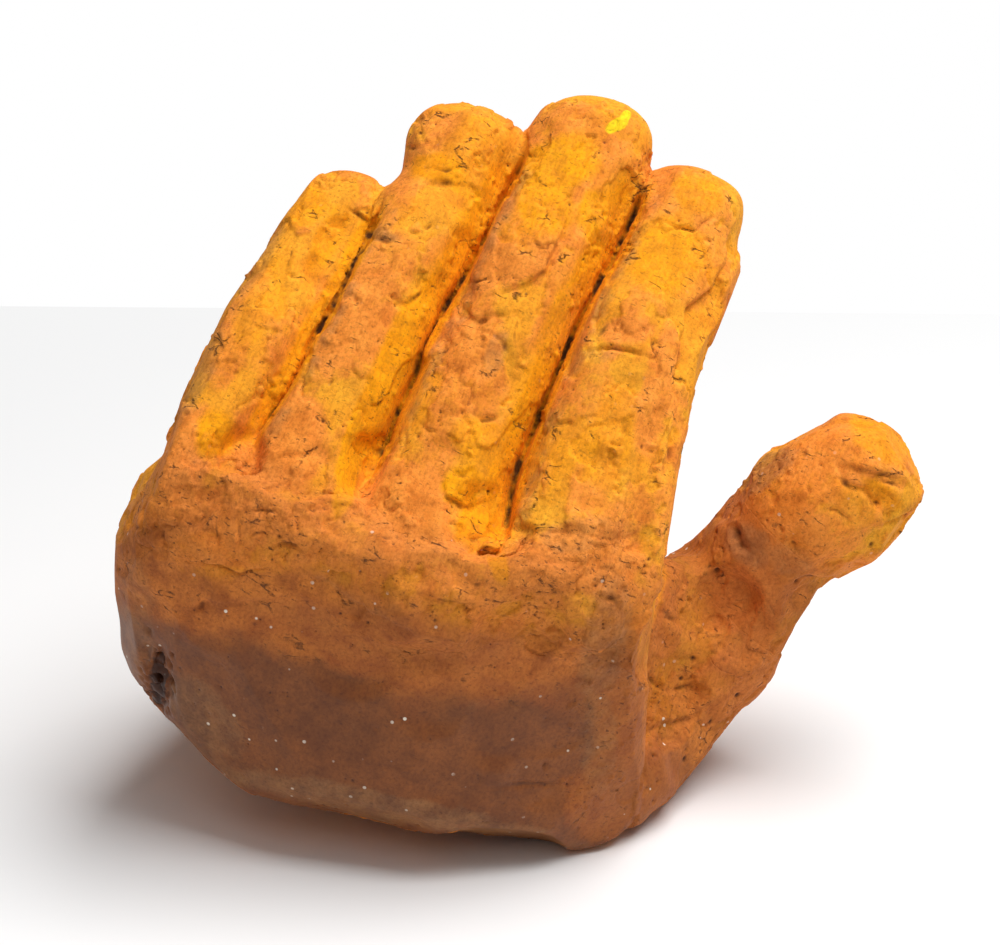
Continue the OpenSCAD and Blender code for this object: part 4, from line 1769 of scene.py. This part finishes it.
# From the bare clay upwards: bright where it was torn open, and as painted light bounced along the
# grooves, paler and pinker where it was smeared with slip, brown where hands wore it, chestnut where
# it was burnished and, lower on the back, as painted shade, grey-brown where it was rubbed and as
# painted shade and sheen, a painted highlight along the sharp edge, and nearly black as painted
# shade in the pits and cracks.
COATS = (
    Coat(Mask.FILM, "#ee8030", "#fd9644", strength=0.7, soft=0.3),
    Coat(Mask.RAW, "#ffac00", "#ff9d00", mixed_by=Pattern.BROAD, soft=0.35),
    Coat(Mask.BROWN, "#a35827", "#cc7631", strength=0.88, torn_by=Pattern.PATCHY, tear=1.3, soft=0.35),
    Coat(
        Mask.BURNISH_AND_SHADE,
        "#6c3a16",
        "#884b1b",
        strength=0.9,
        mixed_by=Pattern.BROAD,
        torn_by=Pattern.PATCHY,
        soft=0.35,
    ),
    Coat(Mask.GREY_RUB_AND_SHEEN, "#87603f", "#a97b4c", strength=0.5, soft=0.4),
    Coat(Mask.EDGE, "#c98a52", "#d89a62", strength=0.8),
    Coat(Mask.CREVICE_SHADE, "#371a0b", "#4b240d", strength=0.95, tear=0.3),
    Coat(Mask.PAINT, "#ffe81c", "#ffc818", tear=0.7),
)


# The noises that shade the clay: the level where each starts, where it is full, and its strength
MOTTLE = (
    (Pattern.PATCHY, 0.56, 0.30, 0.55),
    (Pattern.FINE, 0.54, 0.34, 0.50),
    ("streaks", 0.52, 0.34, 0.22),
)


@dataclass(frozen=True)
class FiredClay:
    """Low-fired red earthenware with grog, under one way of finishing its surface.

    The eye sees a matt, dusty orange body, with ragged skins of browner clay smeared over it,
    painted shade in its crevices and cracks, and white grains of grog where the surface was rubbed smooth.
    """

    name: str
    slot: str
    roughness: float
    specular: float
    plain: str = "#f5961c"
    pale: str = "#ffb22c"
    # Dark of the clay's own specks, and painted shade in its cracks
    speck_and_crack_shade: str = "#43200d"
    shade: str = "#b9a595"
    crack_mm: tuple[float, float, float] = (8.0, 5.0, 3.0)
    streak_mm: tuple[float, float, float] = (0.7, 0.9, 6.0)
    dash_mm: tuple[float, float, float] = (1.6, 0.9, 0.7)
    grog: str = "#ecdfcc"
    grog_mm: float = 3.4
    bump_mm: float = 0.35
    sheen: float = 0.30

    def across(self, tree: bpy.types.NodeTree, place: object, sizes: tuple) -> bpy.types.NodeSocket:
        """Places in the frame of the fingers, in units of some sizes along its three axes."""
        lie = {"Vector": place, "Rotation": HAND.turn.to_euler(), "Scale": [size * MM for size in sizes]}
        return add_node(tree, "ShaderNodeMapping", lie, vector_type="TEXTURE").outputs[0]

    def fissures(self, tree: bpy.types.NodeTree, masks: dict, patterns: dict) -> bpy.types.NodeSocket:
        """Draw the short thin drying cracks, which run mostly across the fingers.

        Args:
            tree: The material's node tree.
            masks: Output of each mask.
            patterns: Output of each pattern of noise.

        Returns:
            Output that is 1 in a crack and 0 elsewhere.
        """
        cells = self.across(tree, patterns["place"], self.crack_mm)
        bend = {"Vector": cells, "Scale": 1.7, "Detail": 5.0}
        bend = add_node(tree, "ShaderNodeTexNoise", bend).outputs["Color"]
        bent = {0: bend, 1: (0.45, 0.45, 0.9), 2: cells}
        bent = add_node(tree, "ShaderNodeVectorMath", bent, operation="MULTIPLY_ADD")
        near = {"Vector": bent.outputs[0], "Scale": 1.0}
        near = add_node(tree, "ShaderNodeTexVoronoi", near, feature="DISTANCE_TO_EDGE")
        limits = (
            {"Value": near.outputs["Distance"], "From Min": 0.05, "From Max": 0.02},
            {"Value": patterns[Pattern.PATCHY], "From Min": 0.57, "From Max": 0.63},
            {"Value": patterns[Pattern.FINE], "From Min": 0.40, "From Max": 0.50},
            {"Value": masks[Mask.BURNISH_AND_SHADE], "To Min": 1.0, "To Max": 0.12},
        )
        return where_all(tree, limits)

    def specks(
        self, tree: bpy.types.NodeTree, masks: dict, patterns: dict, under: object
    ) -> bpy.types.NodeSocket:
        """Mottle the colour, and add dark specks, painted shade in the cracks and the white grains of grog.

        Args:
            tree: The material's node tree.
            masks: Output of each mask.
            patterns: Output of each pattern of noise.
            under: Output of the colour underneath.

        Returns:
            Output of the new colour.
        """
        body = under
        for name, low, high, most in MOTTLE:
            share = {"Value": patterns[name], "From Min": low, "From Max": high, "To Max": most}
            share = add_node(tree, "ShaderNodeMapRange", share).outputs[0]
            values = {0: share, 6: body, 7: linear_colour(self.shade)}
            shaded = add_node(tree, "ShaderNodeMix", values, data_type="RGBA", blend_type="MULTIPLY")
            body = shaded.outputs[2]
        specks = {"Value": patterns["dashes"], "From Min": 0.62, "From Max": 0.68}
        specks = add_node(tree, "ShaderNodeMapRange", specks).outputs[0]
        rough = {0: masks[Mask.ROUGH], 1: 0.4, 2: 0.4}
        rough = add_node(tree, "ShaderNodeMath", rough, operation="MULTIPLY_ADD").outputs[0]
        specks = add_node(tree, "ShaderNodeMath", {0: specks, 1: rough}, operation="MULTIPLY").outputs[0]
        # Painted shade in the thin drying cracks, mixed with the clay's dark specks
        cracks = {0: patterns["cracks"], 1: 0.8}
        cracks = add_node(tree, "ShaderNodeMath", cracks, operation="MULTIPLY").outputs[0]
        dark = add_node(tree, "ShaderNodeMath", {0: specks, 1: cracks}, operation="MAXIMUM").outputs[0]
        colours = {0: dark, 6: body, 7: linear_colour(self.speck_and_crack_shade)}
        body = add_node(tree, "ShaderNodeMix", colours, data_type="RGBA").outputs[2]
        cells = {"Vector": patterns["place"], "Scale": 1.0 / (self.grog_mm * MM)}
        cells = add_node(tree, "ShaderNodeTexVoronoi", cells)
        chance = add_node(tree, "ShaderNodeSeparateColor", {0: cells.outputs["Color"]}).outputs[0]
        limits = (
            {"Value": cells.outputs["Distance"], "From Min": 0.15, "From Max": 0.10},
            {"Value": chance, "From Min": 0.70, "From Max": 0.74},
            {"Value": patterns[Pattern.BROAD], "From Min": 0.45, "From Max": 0.55},
            {"Value": masks[Mask.BROWN], "To Min": 0.04, "To Max": 0.95},
        )
        colours = {0: where_all(tree, limits), 6: body, 7: linear_colour(self.grog)}
        return add_node(tree, "ShaderNodeMix", colours, data_type="RGBA").outputs[2]

    def material(self) -> bpy.types.Material:
        """Build the finish's shader.

        Returns:
            The material, which reads the masks of the clay.
        """
        made = bpy.data.materials.new(self.name)
        made.use_nodes = True
        tree = made.node_tree
        place = add_node(tree, "ShaderNodeTexCoord").outputs["Object"]
        masks = {
            mask: add_node(tree, "ShaderNodeAttribute", attribute_name=mask.value).outputs["Fac"]
            for mask in Mask
        }
        patterns: dict = {"place": place}
        for pattern in Pattern:
            fine = {"Vector": place, "Scale": 1.0 / (pattern.value * MM), "Detail": 7.0, "Roughness": 0.65}
            patterns[pattern] = add_node(tree, "ShaderNodeTexNoise", fine).outputs["Fac"]
        for name, sizes in (("streaks", self.streak_mm), ("dashes", self.dash_mm)):
            fine = {"Vector": self.across(tree, place, sizes), "Scale": 1.0, "Detail": 3.0, "Roughness": 0.6}
            patterns[name] = add_node(tree, "ShaderNodeTexNoise", fine).outputs["Fac"]
        patterns["cracks"] = self.fissures(tree, masks, patterns)
        even = {"Value": patterns[Pattern.BROAD], "From Min": 0.35, "From Max": 0.65}
        even = add_node(tree, "ShaderNodeMapRange", even).outputs[0]
        colours = {6: linear_colour(self.plain), 7: linear_colour(self.pale)}
        body = add_node(tree, "ShaderNodeMix", {0: even, **colours}, data_type="RGBA").outputs[2]
        for coat in COATS:
            body = coat.lay(tree, masks, patterns, body)
        body = self.specks(tree, masks, patterns, body)
        # Grain that is finer than the mesh stands out where the clay is rough and not burnished
        smooth = {"Value": masks[Mask.BURNISH_AND_SHADE], "To Min": 0.5, "To Max": 0.06}
        smooth = add_node(tree, "ShaderNodeMapRange", smooth).outputs[0]
        grain = {0: masks[Mask.ROUGH], 1: 0.5, 2: smooth}
        grain = add_node(tree, "ShaderNodeMath", grain, operation="MULTIPLY_ADD").outputs[0]
        both = {0: patterns[Pattern.FINE], 1: patterns["streaks"]}
        both = add_node(tree, "ShaderNodeMath", both, operation="ADD").outputs[0]
        height = add_node(tree, "ShaderNodeMath", {0: both, 1: grain}, operation="MULTIPLY").outputs[0]
        height = {0: height, 1: patterns["cracks"]}
        height = add_node(tree, "ShaderNodeMath", height, operation="SUBTRACT")
        relief = {"Height": height.outputs[0], "Distance": self.bump_mm * MM, "Strength": 0.9}
        bump = add_node(tree, "ShaderNodeBump", relief)
        rubbed = self.roughness - self.sheen
        dull = {"Value": masks[Mask.BURNISH_AND_SHADE], "To Min": self.roughness, "To Max": rubbed}
        shader = tree.nodes["Principled BSDF"]
        shader.inputs["Specular IOR Level"].default_value = self.specular
        tree.links.new(add_node(tree, "ShaderNodeMapRange", dull).outputs[0], shader.inputs["Roughness"])
        tree.links.new(body, shader.inputs["Base Color"])
        tree.links.new(bump.outputs["Normal"], shader.inputs["Normal"])
        return made


# Rubbed smooth with the back of a spoon before firing: brown, with a low sheen.
BURNISHED = FiredClay("burnished_red_clay", "burnished_red_clay", roughness=0.78, specular=0.3)
# Smeared with wet fingers: a thin browner skin over the orange body.
HANDLED = FiredClay("handled_red_clay", "handled_red_clay", roughness=0.84, specular=0.3)
# Left as it was torn and pressed: bright, dusty and dry.
RAW = FiredClay("raw_red_clay", "raw_red_clay", roughness=0.88, specular=0.25)
# The clay inside, where the pieces meet.
INNER = FiredClay("inner_red_clay", "raw_red_clay", roughness=0.9, specular=0.2)

FINISHES: dict[str, FiredClay] = {
    "back_shell": BURNISHED,
    "palm_bowl": HANDLED,
    "wrist_plug": HANDLED,
    "heel_mound": HANDLED,
    "thumb_mound": HANDLED,
    "thumb_shaft": HANDLED,
    "knuckle_band": HANDLED,
    "web_wad": HANDLED,
    "thumb_tip": RAW,
    "little_finger": RAW,
    "ring_finger": RAW,
    "middle_finger": RAW,
    "index_finger": RAW,
    "index_strip": RAW,
}


def thinned(mesh: bpy.types.Mesh, most: int) -> bpy.types.Mesh:
    """Thin a mesh that has too many triangles.

    Args:
        mesh: The mesh; it is used up where it is thinned.
        most: The most triangles that it may have.

    Returns:
        The mesh, thinned or not.
    """
    count = len(mesh.loops) - 2 * len(mesh.polygons)
    if count <= most:
        return mesh
    name = mesh.name
    obj = add_object(name, mesh)
    modifier = obj.modifiers.new("fewer_faces", "DECIMATE")
    modifier.ratio = most / count
    return applied(obj, name)


@dataclass
class Dresser:
    """Turns cut pieces into finished objects with their finish and body."""

    bench: Workbench
    most_triangles: int = 190_000
    materials: dict[str, bpy.types.Material] = field(default_factory=dict)

    def number_points(self) -> None:
        """Number the clay's points, so that each piece can find its own again."""
        mesh = self.bench.skin.mesh
        numbers = mesh.attributes.new("source", "INT", "POINT")
        numbers.data.foreach_set("value", np.arange(1, len(mesh.vertices) + 1, dtype=np.int32))

    def material(self, finish: FiredClay) -> bpy.types.Material:
        """Build a finish's material, or find it where it has been built.

        Args:
            finish: The finish.

        Returns:
            The material.
        """
        if finish.name not in self.materials:
            self.materials[finish.name] = finish.material()
        return self.materials[finish.name]

    def copy_masks(self, mesh: bpy.types.Mesh) -> None:
        """Give a piece the masks of the clay that it was cut from.

        Args:
            mesh: The piece, whose points know their numbers on the clay.
        """
        source = read(mesh.attributes["source"].data, "value") - 1
        for index in np.flatnonzero(source < 0):
            source[index] = self.bench.tree.find(mesh.vertices[int(index)].co)[1]
        mesh.attributes.remove(mesh.attributes["source"])
        for mask, values in self.bench.skin.masks.items():
            made = mesh.attributes.new(mask.value, "FLOAT", "POINT")
            made.data.foreach_set("value", np.clip(values[source], 0.0, 1.0).astype(np.float32))

    def sharpen_rims(self, mesh: bpy.types.Mesh) -> None:
        """Keep the shading of the outer skin apart from that of the cut faces.

        Args:
            mesh: The piece.
        """
        inner = read(mesh.polygons, "material_index")
        beside = np.repeat(inner, read(mesh.polygons, "loop_total"))
        total = np.bincount(read(mesh.loops, "edge_index"), weights=beside, minlength=len(mesh.edges))
        rims = mesh.attributes.new("sharp_edge", "BOOLEAN", "EDGE")
        rims.data.foreach_set("value", total == 1)

    def dress(self, piece: Piece) -> bpy.types.Object:
        """Finish one piece.

        Args:
            piece: The cut piece, in millimetres.

        Returns:
            The finished object, in metres.
        """
        self.copy_masks(piece.mesh)
        mesh = thinned(piece.mesh, self.most_triangles)
        mesh.transform(Matrix.Scale(MM, 4))
        finish = FINISHES[piece.node]
        mesh.materials.clear()
        mesh.materials.append(self.material(finish))
        mesh.materials.append(self.material(INNER))
        mesh.shade_smooth()
        self.sharpen_rims(mesh)
        obj = add_object("clay_" + piece.node, mesh)
        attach(obj, "root")
        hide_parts(piece.node)
        triangles = len(mesh.loops) - 2 * len(mesh.polygons)
        log.info("%s: %d triangles, finish %s", obj.name, triangles, finish.name)
        return obj


@dataclass(frozen=True)
class SoftBox:
    """A rectangular lamp, in metres and watts."""

    name: str
    place: tuple[float, float, float]
    aim: tuple[float, float, float]
    size: tuple[float, float]
    watts: float

    def hang(self) -> None:
        """Put the lamp into the scene, turned to what it lights."""
        light = bpy.data.lights.new(self.name, "AREA")
        light.shape = "RECTANGLE"
        light.size, light.size_y = self.size
        light.energy = self.watts
        lamp = bpy.data.objects.new(self.name, light)
        lamp.location = self.place
        view = Vector(self.aim) - Vector(self.place)
        lamp.rotation_euler = view.to_track_quat("-Z", "Y").to_euler()
        bpy.context.scene.collection.objects.link(lamp)


@dataclass
class Studio:
    """Pale floor and backdrop, soft lamps and the camera."""

    table_width: float = 4.0
    table_from: float = -3.0
    table_to: float = 0.376
    table_turn: float = -1.5
    white: float = 0.88
    matt_to: float = 0.2
    glow_from: float = 0.65
    ambient: float = 0.15
    backdrop_half: float = 8.0
    backdrop_below: float = 0.002
    boxes: tuple[SoftBox, ...] = (
        SoftBox("overhead_box", (0.36, -0.10, 1.20), aim=(0.0, 0.0, 0.05), size=(0.9, 0.8), watts=19.0),
        SoftBox("front_fill", (0.1, -0.9, 1.2), aim=(0.0, 0.0, 0.08), size=(1.0, 0.8), watts=2.5),
    )

    def card(self, name: str, low: tuple, high: tuple, turn: float, made: bpy.types.Material) -> None:
        """Lay a flat card that is part of the studio.

        Args:
            name: Name of the card.
            low: Its lowest corner, in metres.
            high: Its highest corner.
            turn: How far it is turned about the upright, in degrees.
            made: Its material.
        """
        bm = bmesh.new()
        size = Vector(high) - Vector(low)
        middle = (Vector(high) + Vector(low)) / 2
        place = Matrix.Rotation(math.radians(turn), 4, "Z") @ Matrix.Translation(middle)
        shape = Matrix.Diagonal((size.x, size.y, 1.0, 1.0))
        bmesh.ops.create_grid(bm, x_segments=1, y_segments=1, size=0.5, matrix=place @ shape)
        mesh = mesh_from(bm, name)
        mesh.materials.append(made)
        add_object(name, mesh)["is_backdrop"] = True

    def white_card(self) -> bpy.types.Material:
        """Build the matt white card that takes the hand's shadows and turns plain white far away.

        Returns:
            The material.
        """
        made = bpy.data.materials.new("matt_white_card")
        made.use_nodes = True
        tree = made.node_tree
        shader = tree.nodes["Principled BSDF"]
        shader.inputs["Base Color"].default_value = (self.white, self.white, self.white, 1.0)
        shader.inputs["Roughness"].default_value = 1.0
        shader.inputs["Specular IOR Level"].default_value = 0.0
        place = add_node(tree, "ShaderNodeTexCoord").outputs["Object"]
        away = add_node(tree, "ShaderNodeVectorMath", {0: place}, operation="LENGTH").outputs["Value"]
        share = {"Value": away, "From Min": self.matt_to, "From Max": self.glow_from}
        far = add_node(tree, "ShaderNodeMapRange", share).outputs[0]
        seen = add_node(tree, "ShaderNodeLightPath").outputs["Is Camera Ray"]
        both = add_node(tree, "ShaderNodeMath", {0: far, 1: seen}, operation="MULTIPLY").outputs[0]
        glow = add_node(tree, "ShaderNodeEmission", {"Strength": 1.0}).outputs[0]
        mixed = add_node(tree, "ShaderNodeMixShader", {0: both, 1: shader.outputs[0], 2: glow})
        tree.links.new(mixed.outputs[0], tree.nodes["Material Output"].inputs["Surface"])
        return made

    def glowing_card(self) -> bpy.types.Material:
        """Build the card behind the table, which is plain white wherever it is seen.

        Returns:
            The material.
        """
        made = bpy.data.materials.new("lit_white_backdrop")
        made.use_nodes = True
        tree = made.node_tree
        glow = add_node(tree, "ShaderNodeEmission", {"Strength": 1.0})
        tree.links.new(glow.outputs[0], tree.nodes["Material Output"].inputs["Surface"])
        return made

    def floor(self) -> None:
        """Lay the white table and the backdrop that goes on behind its far edge."""
        half = self.table_width / 2
        low, high = (-half, self.table_from, 0.0), (half, self.table_to, 0.0)
        self.card("table_card", low, high, self.table_turn, self.white_card())
        far, below = self.backdrop_half, -self.backdrop_below
        self.card("backdrop_card", (-far, -far, below), (far, far, below), 0.0, self.glowing_card())

    def world(self) -> None:
        """Light the scene softly from all round, behind a white background."""
        world = bpy.data.worlds.new("studio_world")
        world.use_nodes = True
        bpy.context.scene.world = world
        tree = world.node_tree
        paths = add_node(tree, "ShaderNodeLightPath")
        seen = add_node(
            tree,
            "ShaderNodeMath",
            {0: paths.outputs["Is Camera Ray"], 1: paths.outputs["Is Glossy Ray"]},
            operation="MAXIMUM",
        )
        strength = add_node(
            tree, "ShaderNodeMapRange", {"Value": seen.outputs[0], "To Min": self.ambient, "To Max": 1.0}
        )
        back = tree.nodes["Background"]
        back.inputs["Color"].default_value = (1.0, 1.0, 1.0, 1.0)
        tree.links.new(strength.outputs["Result"], back.inputs["Strength"])

    def camera(self) -> None:
        """Set the camera where the photograph was taken from."""
        data = bpy.data.cameras.new("camera")
        data.lens = PICTURE.lens
        data.sensor_width = PICTURE.sensor
        camera = bpy.data.objects.new("camera", data)
        camera.location = Vector(PICTURE.eye()) * MM
        camera.rotation_euler = Euler((math.radians(90.0 - PICTURE.elevation), 0.0, 0.0))
        bpy.context.scene.collection.objects.link(camera)
        bpy.context.scene.camera = camera

    def build(self) -> None:
        """Put up the whole studio."""
        self.floor()
        self.world()
        for box in self.boxes:
            box.hang()
        self.camera()
        bpy.context.scene.view_settings.view_transform = "Standard"


def main() -> None:
    """Build the hand piece by piece, then the studio round it."""
    cad_box = [list(corner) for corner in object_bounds()]
    body = ClayBody()
    skin = body.skin()
    bench = Workbench(skin, seed=7)
    fingers, thumb, palm = Fingers(), Thumb(), Palm()
    Grain().model(bench, fingers, thumb, palm)
    skin.keep_inside(*(np.array(corner) / MM for corner in cad_box))
    dresser = Dresser(bench)
    dresser.number_points()
    clay = Clay(skin.mesh)
    pieces = thumb.cut_limb(clay)
    pieces += fingers.cut(clay)
    pieces += thumb.cut_root(clay)
    pieces += palm.cut(clay, body)
    for piece in pieces:
        dresser.dress(piece)
    Studio().build()


if __name__ == "__main__":
    logging.basicConfig(level=logging.INFO, format="%(relativeCreated)6d ms  %(message)s")
    main()
